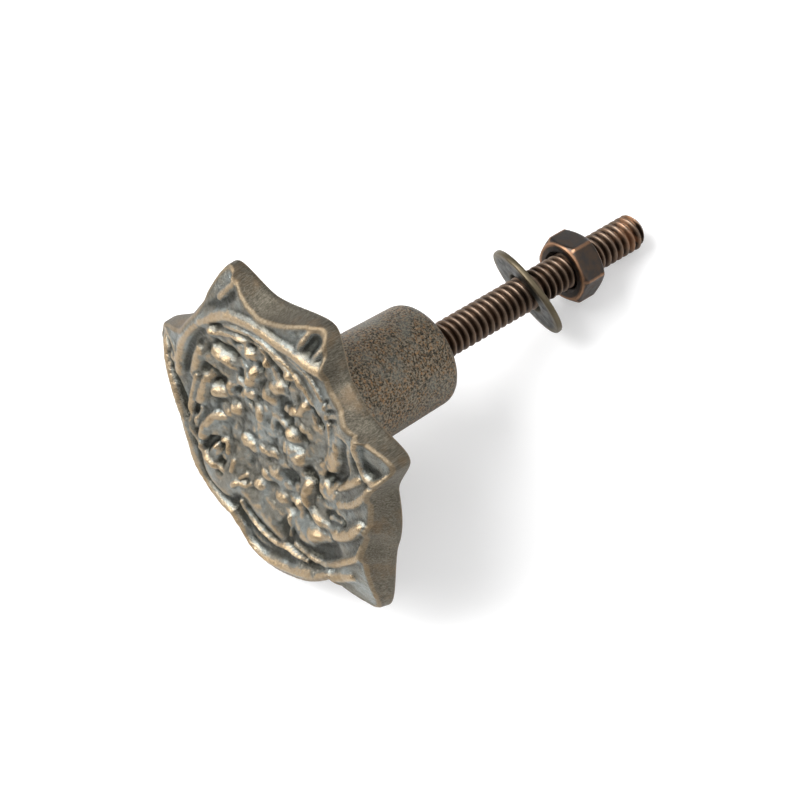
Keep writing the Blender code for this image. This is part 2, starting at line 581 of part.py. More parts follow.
def add_washer(parts, axis):
    """Returns the washer, a flat ring with rounded edges, leaning as it hangs on the stud."""
    outer = WASHER_DIAMETER / 2.0 - WASHER_EDGE_ROUND
    inner = WASHER_HOLE / 2.0 + WASHER_EDGE_ROUND
    height = WASHER_THICKNESS / 2.0 - WASHER_EDGE_ROUND
    profile = arc((outer, height), WASHER_EDGE_ROUND, 90.0, 0.0, 2)
    profile += arc((outer, -height), WASHER_EDGE_ROUND, 0.0, -90.0, 2)
    profile += arc((inner, -height), WASHER_EDGE_ROUND, -90.0, -180.0, 2)
    profile += arc((inner, height), WASHER_EDGE_ROUND, 180.0, 90.0, 2)
    colour = metal("dull_steel", (0.13, 0.13, 0.11), 0.45)
    washer = add_turned("washer", profile, WASHER_SIDES, parts, axis, colour, ring=True)
    washer.location = (0.0, 0.0, WASHER_PLACE)
    washer.rotation_euler = (WASHER_LEAN, 0.0, 0.0)
    return washer


def add_nut(parts, cutters, axis):
    """Returns the hexagon nut, with both ends chamfered and both mouths of its hole countersunk."""
    half = NUT_THICKNESS / 2.0
    corner = NUT_ACROSS_FLATS / 2.0 / math.cos(math.pi / 6.0)
    work = bmesh.new()
    bmesh.ops.create_cone(work, cap_ends=True, segments=6, radius1=corner, radius2=corner, depth=NUT_THICKNESS)
    mesh = bpy.data.meshes.new("hex_nut")
    work.to_mesh(mesh)
    work.free()
    nut = add_object("hex_nut", mesh, parts, axis, metal("brown_steel", (0.11, 0.08, 0.06), 0.42))
    end_radius = corner - NUT_CHAMFER_DEPTH / NUT_CHAMFER_SLOPE
    over = CUTTER_OVERRUN
    reach = end_radius + (NUT_CHAMFER_DEPTH + over) / NUT_CHAMFER_SLOPE
    trim = [(0.0, half), (end_radius, half), (reach, half - NUT_CHAMFER_DEPTH - over)]
    trim += [(reach, -half + NUT_CHAMFER_DEPTH + over), (end_radius, -half), (0.0, -half)]
    trimmer = add_turned("nut_trim", trim, WASHER_SIDES, cutters, axis)
    bore = STUD_DIAMETER / 2.0 + THREAD_CLEARANCE
    wide = bore + NUT_COUNTERSINK + over
    drill = [(0.0, half + over), (wide, half + over), (bore, half - NUT_COUNTERSINK)]
    drill += [(bore, -half + NUT_COUNTERSINK), (wide, -half - over), (0.0, -half - over)]
    driller = add_turned("nut_drill", drill, HOLE_SIDES, cutters, axis)
    for piece in (nut, trimmer, driller):
        piece.location = (0.0, 0.0, NUT_PLACE)
    nut.rotation_euler = (0.0, 0.0, NUT_TURN)
    add_boolean(nut, "INTERSECT", trimmer)
    add_boolean(nut, "DIFFERENCE", driller)
    return nut


def main():
    clear_scene()
    parts = new_collection("rosette_cabinet_knob")
    cutters = new_collection("rosette_cabinet_knob_cutters")
    axis = bpy.data.objects.new("stud_axis", None)
    axis.rotation_euler = (math.radians(-90.0), 0.0, 0.0)
    parts.objects.link(axis)
    add_casting(parts, cutters, axis)
    add_stud(parts, cutters, axis)
    add_washer(parts, axis)
    add_nut(parts, cutters, axis)


main()
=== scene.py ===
"""Cast rosette cabinet knob: its carved casting, threaded stud, washer and hexagon nut, with their finishes.

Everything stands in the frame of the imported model, in metres: the stud's axis is Y, the rosette faces -Y and
the stem's end is at the origin. The pieces' classes hold their sizes in millimetres, because they are small,
and their points are turned into metres when the mesh is made.
"""

from __future__ import annotations

import logging
import math
from dataclasses import dataclass, field
from enum import Enum

import bpy
import numpy as np
from mathutils import Matrix, Vector, noise


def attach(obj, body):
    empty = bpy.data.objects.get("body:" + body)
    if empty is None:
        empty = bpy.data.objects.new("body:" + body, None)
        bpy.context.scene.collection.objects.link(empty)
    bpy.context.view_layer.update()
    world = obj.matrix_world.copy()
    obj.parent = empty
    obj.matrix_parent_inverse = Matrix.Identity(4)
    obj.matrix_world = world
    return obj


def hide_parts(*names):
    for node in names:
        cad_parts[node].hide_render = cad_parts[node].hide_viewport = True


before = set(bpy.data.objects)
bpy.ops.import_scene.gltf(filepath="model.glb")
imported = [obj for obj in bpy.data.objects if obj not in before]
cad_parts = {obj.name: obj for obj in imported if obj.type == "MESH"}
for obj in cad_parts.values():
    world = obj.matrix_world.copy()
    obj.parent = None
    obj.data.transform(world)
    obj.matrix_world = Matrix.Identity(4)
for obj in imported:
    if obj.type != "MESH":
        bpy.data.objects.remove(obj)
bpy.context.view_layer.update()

MM = 0.001
INCH = 25.4
THREAD_PITCH = INCH / 24.0
FULL_TURN = 2.0 * math.pi
LOG = logging.getLogger("rosette_knob")

Point = tuple[float, float]
Triple = tuple[float, float, float]
Colour = tuple[float, float, float]
Face = tuple[int, ...]
Socket = bpy.types.NodeSocket


class Node(Enum):
    """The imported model's nodes that the dressed pieces stand for."""

    CASTING = "knob_casting"
    STUD = "threaded_stud"
    WASHER = "washer"
    NUT = "hex_nut"


class Body(Enum):
    """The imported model's moving bodies."""

    KNOB = "knob"
    WASHER = "washer"
    NUT = "nut"


@dataclass
class Nodes:
    """A node tree, with short calls for the nodes that the finishes and the sky use.

    What an input gets is the output of another node, or else a plain number, colour or vector.
    """

    tree: bpy.types.NodeTree

    def add(self, kind: str, **settings: object) -> bpy.types.Node:
        """Adds a node.

        Args:
            kind: Blender's name for the node's type.
            settings: Values for the node's own properties.

        Returns:
            The new node.
        """
        node = self.tree.nodes.new(kind)
        for key, value in settings.items():
            setattr(node, key, value)
        return node

    def feed(self, node: bpy.types.Node, values: dict[str | int, object]) -> None:
        """Links or sets some inputs of a node.

        Args:
            node: The node.
            values: What each input gets, by the input's name or number.
        """
        for key, value in values.items():
            socket = node.inputs[key]
            if isinstance(value, Socket):
                self.tree.links.new(value, socket)
            elif isinstance(value, tuple) and socket.type == "RGBA":
                socket.default_value = (*value, 1.0)
            else:
                socket.default_value = value

    def math(self, operation: str, first: object, second: object) -> Socket:
        """Works out a sum on two numbers.

        Args:
            operation: Blender's name for the kind of sum.
            first: The first number.
            second: The second number.

        Returns:
            The result.
        """
        node = self.add("ShaderNodeMath", operation=operation)
        self.feed(node, {0: first, 1: second})
        return node.outputs[0]

    def plus(self, first: object, second: object, share: float) -> Socket:
        """Returns a number with a share of another one added to it."""
        return self.math("ADD", first, self.math("MULTIPLY", second, share))

    def blend(self, amount: object, first: object, second: object) -> Socket:
        """Turns one colour into another.

        Args:
            amount: How far, from 0 to 1.
            first: The colour at 0.
            second: The colour at 1.

        Returns:
            The blended colour.
        """
        node = self.add("ShaderNodeMix", data_type="RGBA", clamp_factor=True)
        self.feed(node, {"Factor": amount, 6: first, 7: second})
        return node.outputs[2]


class Shader(Nodes):
    """A material's node tree, with patterns that are measured in millimetres."""

    def __init__(self, name: str) -> None:
        """Makes the material, with its surface node and its coordinates in millimetres.

        Args:
            name: The material's name.
        """
        self.material = bpy.data.materials.new(name)
        self.material.use_nodes = True
        super().__init__(self.material.node_tree)
        self.surface = self.tree.nodes["Principled BSDF"]
        self.place = self.scaled(self.add("ShaderNodeTexCoord").outputs["Object"], (1.0 / MM,) * 3)

    def scaled(self, vector: object, factors: Triple) -> Socket:
        """Multiplies a vector.

        Args:
            vector: The vector.
            factors: A factor for each axis.

        Returns:
            The longer or shorter vector.
        """
        node = self.add("ShaderNodeVectorMath", operation="MULTIPLY")
        self.feed(node, {0: vector, 1: factors})
        return node.outputs[0]

    def noise(self, scale: float, detail: float, rough: float, place: Socket | None = None) -> Socket:
        """Makes a cloudy pattern.

        Args:
            scale: Waves for each millimetre, or for each unit of the place.
            detail: How many finer layers are added.
            rough: How strong the finer layers are.
            place: Coordinates to use instead of the object's millimetres.

        Returns:
            The pattern, from 0 to 1.
        """
        node = self.add("ShaderNodeTexNoise")
        self.feed(node, {"Vector": place or self.place, "Scale": scale, "Detail": detail, "Roughness": rough})
        return node.outputs["Fac"]

    def cells(self, scale: float) -> Socket:
        """Makes a pattern of scattered points, for pits.

        Args:
            scale: Points for each millimetre.

        Returns:
            The distance to the nearest point.
        """
        node = self.add("ShaderNodeTexVoronoi")
        self.feed(node, {"Vector": self.place, "Scale": scale})
        return node.outputs["Distance"]

    def band(self, value: object, low: float, high: float, to_low: float = 0.0,
             to_high: float = 1.0) -> Socket:
        """Makes a smooth step of a value.

        Args:
            value: The value.
            low: Where the step starts.
            high: Where the step ends.
            to_low: The result before the step.
            to_high: The result after the step.

        Returns:
            The result.
        """
        node = self.add("ShaderNodeMapRange", interpolation_type="SMOOTHSTEP")
        self.feed(node, {"Value": value, "From Min": low, "From Max": high})
        self.feed(node, {"To Min": to_low, "To Max": to_high})
        return node.outputs["Result"]

    def kept(self, name: str) -> Socket:
        """Returns a value that the mesh keeps for each of its points."""
        return self.add("ShaderNodeAttribute", attribute_name=name).outputs["Fac"]

    def along_axis(self) -> Socket:
        """Measures along the stud's axis.

        Returns:
            The place in millimetres.
        """
        node = self.add("ShaderNodeSeparateXYZ")
        self.feed(node, {0: self.place})
        return node.outputs["Y"]

    def bump(self, height: object, depth: float, strength: float, under: Socket | None = None) -> Socket:
        """Roughens the surface by a height.

        Args:
            height: The height, from 0 to 1.
            depth: How many millimetres a height of 1 stands for.
            strength: How much of it shows.
            under: A bump that this one lies on.

        Returns:
            The roughened surface normal.
        """
        node = self.add("ShaderNodeBump")
        self.feed(node, {"Height": height, "Distance": depth * MM, "Strength": strength})
        if under is not None:
            self.feed(node, {"Normal": under})
        return node.outputs["Normal"]

    def metal(self, colour: object, rough: object, normal: object) -> bpy.types.Material:
        """Makes the surface a metal.

        Args:
            colour: The metal's colour.
            rough: Its roughness.
            normal: Its surface normal.

        Returns:
            The material.
        """
        self.feed(self.surface, {"Base Color": colour, "Roughness": rough, "Normal": normal, "Metallic": 1.0})
        return self.material


@dataclass(frozen=True)
class AgedBronze:
    """Cast bronze: dark in its hollows with patina and painted shade, gold on its ridges, brushed on its wall
    and sandy on its stem.
    """

    body: Colour = (0.185, 0.175, 0.145)
    cool: Colour = (0.235, 0.25, 0.235)
    # Near-black colour of the hollows: dark patina, together with painted shade.
    hollow: Colour = (0.026, 0.026, 0.020)
    gold: Colour = (0.46, 0.325, 0.18)
    wall_dark: Colour = (0.085, 0.077, 0.059)
    wall_pale: Colour = (0.235, 0.21, 0.165)
    wall_brown: Colour = (0.24, 0.16, 0.09)
    sand_dark: Colour = (0.03, 0.03, 0.024)
    sand_pale: Colour = (0.30, 0.25, 0.185)
    sand_red: Colour = (0.34, 0.20, 0.10)
    sand_cool: Colour = (0.21, 0.22, 0.195)
    face_rough: float = 0.29
    wall_rough: float = 0.48
    stem_rough: float = 0.46
    stem_start: float = -20.3
    patch_waves: float = 0.28
    fine_waves: float = 1.9
    grain_waves: float = 5.5
    speckle_waves: float = 9.0
    brush_waves: float = 8.0
    brush_stretch: Triple = (1.0, 0.07, 1.0)
    sand_waves: float = 3.8
    rust_waves: float = 2.6
    pit_scale: float = 2.2

    def face(self, paint: Shader, patches: Socket, fine: Socket) -> Socket:
        """Colours the carved front by the ridge and hollow values of its mesh, with dark patina and painted
        shade in the hollows.

        Args:
            paint: The material's nodes.
            patches: The large cloudy pattern.
            fine: The small cloudy pattern.

        Returns:
            The colour.
        """
        colour = paint.blend(paint.band(patches, 0.42, 0.62), self.body, self.cool)
        rubbed = paint.band(paint.plus(paint.kept("ridge"), fine, 0.9), 0.6, 1.5, to_high=0.75)
        colour = paint.blend(rubbed, colour, self.gold)
        # Painted shade with dark patina: the hollows turn near-black where the mesh's hollow value is high.
        dark = paint.band(paint.plus(paint.kept("hollow"), fine, 0.6), 0.35, 1.05, to_high=0.85)
        return paint.blend(dark, colour, self.hollow)

    def side(self, paint: Shader, patches: Socket, brushed: Socket) -> Socket:
        """Colours the brushed wall and the back.

        Args:
            paint: The material's nodes.
            patches: The large cloudy pattern.
            brushed: The long strokes of the brush.

        Returns:
            The colour.
        """
        colour = paint.blend(paint.band(brushed, 0.35, 0.7), self.wall_dark, self.wall_pale)
        colour = paint.blend(paint.band(patches, 0.5, 0.75, to_high=0.5), colour, self.wall_brown)
        return paint.blend(paint.band(paint.kept("ridge"), 0.1, 0.5, to_high=0.5), colour, self.gold)

    def sand(self, paint: Shader, patches: Socket) -> Socket:
        """Colours the sandy stem.

        Args:
            paint: The material's nodes.
            patches: The large cloudy pattern.

        Returns:
            The colour.
        """
        grains = paint.band(paint.noise(self.sand_waves, 4.0, 0.7), 0.40, 0.62)
        colour = paint.blend(grains, self.sand_dark, self.sand_pale)
        rust = paint.band(paint.noise(self.rust_waves, 4.0, 0.7), 0.5, 0.66, to_high=0.85)
        colour = paint.blend(rust, colour, self.sand_red)
        return paint.blend(paint.band(patches, 0.45, 0.7, to_high=0.5), colour, self.sand_cool)

    def skin(self, paint: Shader, wall: Socket, stem: Socket, fine: Socket, brushed: Socket) -> Socket:
        """Roughens the surface: cast all over, brushed on the wall, pitted on the stem.

        Args:
            paint: The material's nodes.
            wall: How much each place belongs to the wall, the back or the stem.
            stem: How much each place belongs to the stem.
            fine: The small cloudy pattern.
            brushed: The long strokes of the brush.

        Returns:
            The surface normal.
        """
        grains = paint.noise(self.grain_waves, 3.0, 0.6)
        cast = paint.plus(paint.math("MULTIPLY", fine, 0.4), grains, 0.6)
        normal = paint.bump(paint.math("MULTIPLY", cast, paint.band(wall, 0.0, 1.0, 1.0, 0.4)), 0.2, 0.75)
        normal = paint.bump(paint.math("MULTIPLY", brushed, wall), 0.10, 0.7, normal)
        pits = paint.band(paint.cells(self.pit_scale), 0.05, 0.4)
        return paint.bump(paint.math("MULTIPLY", pits, stem), 0.10, 0.6, normal)

    def material(self) -> bpy.types.Material:
        """Makes the bronze, which follows the ridge, hollow and wall values of the casting's mesh.

        Returns:
            The material.
        """
        paint = Shader("aged_bronze")
        wall = paint.kept("wall")
        stem = paint.band(paint.along_axis(), self.stem_start - 0.5, self.stem_start + 0.8)
        patches = paint.noise(self.patch_waves, 4.0, 0.6)
        fine = paint.noise(self.fine_waves, 5.0, 0.65)
        brushed = paint.noise(self.brush_waves, 4.0, 0.75, paint.scaled(paint.place, self.brush_stretch))
        colour = paint.blend(wall, self.face(paint, patches, fine), self.side(paint, patches, brushed))
        colour = paint.blend(stem, colour, self.sand(paint, patches))
        speckle = paint.band(paint.noise(self.speckle_waves, 2.0, 0.55), 0.3, 0.7, -0.06, 0.08)
        rough = paint.math("ADD", paint.band(wall, 0.0, 1.0, self.face_rough, self.wall_rough), speckle)
        rough = paint.math("MAXIMUM", rough, paint.math("MULTIPLY", stem, self.stem_rough))
        return paint.metal(colour, rough, self.skin(paint, wall, stem, fine, brushed))


@dataclass(frozen=True)
class CopperedSteel:
    """Threaded rod with a dark copper wash, lighter on its worn crests and redder near its end."""

    crest: Colour = (0.185, 0.135, 0.10)
    root: Colour = (0.030, 0.019, 0.013)
    copper: Colour = (0.30, 0.16, 0.09)
    rough: float = 0.38
    patch_waves: float = 0.5
    fine_waves: float = 6.0
    copper_from: float = 29.0
    copper_to: float = 35.0

    def material(self) -> bpy.types.Material:
        """Makes the stud's finish, whose wear follows the crest value of its mesh.

        Returns:
            The material.
        """
        paint = Shader("coppered_steel")
        patches = paint.noise(self.patch_waves, 4.0, 0.6)
        fine = paint.noise(self.fine_waves, 4.0, 0.7)
        worn = paint.band(paint.plus(paint.kept("crest"), fine, 0.5), 0.55, 1.25)
        colour = paint.blend(worn, self.root, self.crest)
        near_end = paint.band(paint.along_axis(), self.copper_from, self.copper_to, 0.1, 0.8)
        washed = paint.math("MULTIPLY", paint.band(patches, 0.4, 0.65), near_end)
        colour = paint.blend(washed, colour, self.copper)
        rough = paint.band(fine, 0.3, 0.8, self.rough - 0.06, self.rough + 0.12)
        return paint.metal(colour, rough, paint.bump(fine, 0.03, 0.5))


@dataclass(frozen=True)
class DullPlate:
    """Dull plated steel of the washer or the nut, rubbed through to a warm metal along its edges."""

    name: str
    face: Colour
    stain: Colour
    edge: Colour
    rough: float
    patch_waves: float = 0.9
    fine_waves: float = 7.0

    def material(self) -> bpy.types.Material:
        """Makes the plate, whose wear follows the edge value of the mesh.

        Returns:
            The material.
        """
        paint = Shader(self.name)
        patches = paint.noise(self.patch_waves, 5.0, 0.65)
        fine = paint.noise(self.fine_waves, 3.0, 0.6)
        colour = paint.blend(paint.band(patches, 0.35, 0.68), self.face, self.stain)
        worn = paint.band(paint.plus(paint.kept("edge"), patches, 0.5), 0.65, 1.2)
        colour = paint.blend(worn, colour, self.edge)
        rough = paint.band(patches, 0.3, 0.7, self.rough - 0.08, self.rough + 0.1)
        return paint.metal(colour, rough, paint.bump(fine, 0.025, 0.5))


@dataclass(frozen=True)
class Tip:
    """A swept tip of the outline: its place, its reach, its flanks, its fall and its eye's half width."""

    angle_deg: float
    radius: float
    left_deg: float
    right_deg: float
    fall: float
    eye: float


@dataclass(frozen=True)
class Stroke:
    """A ridge of the relief, or a hollow where the rise is negative, along a line through a few points."""

    rise: float
    left_width: float
    right_width: float
    points: tuple[Point, ...]


def smooth(value: np.ndarray) -> np.ndarray:
    """Returns 0 below 0, 1 above 1 and an S-shaped rise between."""
    value = np.clip(value, 0.0, 1.0)
    return value * value * (3.0 - 2.0 * value)


def hump(value: np.ndarray, power: float = 2.0) -> np.ndarray:
    """Returns 1 at 0, falling to 0 at 1 on either side, with a fuller shape for a lower power."""
    return np.clip(1.0 - value * value, 0.0, 1.0) ** power


def turned_by(angle: np.ndarray, target_deg: float) -> np.ndarray:
    """Returns how far each angle in radians lies from a target in degrees, from -180 to 180 degrees."""
    return (np.degrees(angle) - target_deg + 180.0) % 360.0 - 180.0


@dataclass
class Outline:
    """The rosette's edge, as a radius for each angle seen from the front."""

    front_valley: float = 17.5
    back_valley: float = 18.6
    swell_height: float = 0.9
    swell_deg: float = -140.0
    swell_half_width_deg: float = 62.0
    swell_tip_share: float = 0.6
    flare_height: float = 1.0
    flare_deg: float = 0.0
    flare_half_width_deg: float = 32.0
    nose_round_deg: float = 3.0
    flank_power: float = 1.75
    tips: tuple[Tip, ...] = (
        Tip(193.0, 22.5, 36.0, 15.0, 2.4, 0.8),
        Tip(136.0, 21.8, 22.0, 16.0, 2.4, 0.0),
        Tip(90.0, 21.6, 23.0, 15.0, 2.3, 0.95),
        Tip(42.5, 21.9, 15.0, 13.0, 1.0, 0.0),
        Tip(-24.0, 23.7, 23.0, 12.5, 1.8, 0.0),
        Tip(-80.0, 22.2, 70.0, 30.0, 1.1, 0.0),
        Tip(-111.0, 22.3, 36.0, 30.0, 1.1, 0.0),
    )

    def radius(self, angle: np.ndarray, valley: float) -> np.ndarray:
        """Measures the outline.

        Args:
            angle: Angles in radians.
            valley: The radius between the tips.

        Returns:
            The radius at each angle.
        """
        reach = np.zeros_like(angle)
        for tip in self.tips:
            off = turned_by(angle, tip.angle_deg)
            along = np.hypot(off, self.nose_round_deg) - self.nose_round_deg
            flank = np.where(off > 0.0, tip.left_deg, tip.right_deg)
            shape = np.clip(1.0 - along / flank, 0.0, 1.0) ** self.flank_power
            reach = np.maximum(reach, (tip.radius - valley) * shape)
        return valley + reach

    def front(self, angle: np.ndarray) -> np.ndarray:
        """Measures the front edge, which swells at the lower left and takes up part of the tips there.

        Args:
            angle: Angles in radians.

        Returns:
            The radius at each angle.
        """
        plain = self.radius(angle, self.front_valley)
        swell = self.swell_height * hump(turned_by(angle, self.swell_deg) / self.swell_half_width_deg)
        swollen = self.front_valley + swell + self.swell_tip_share * (plain - self.front_valley)
        return np.maximum(plain, swollen)

    def back(self, angle: np.ndarray) -> np.ndarray:
        """Returns the radius of the back edge at each angle in radians, which flares out at the right."""
        flare = self.flare_height * hump(turned_by(angle, self.flare_deg) / self.flare_half_width_deg)
        return self.radius(angle, self.back_valley) + flare


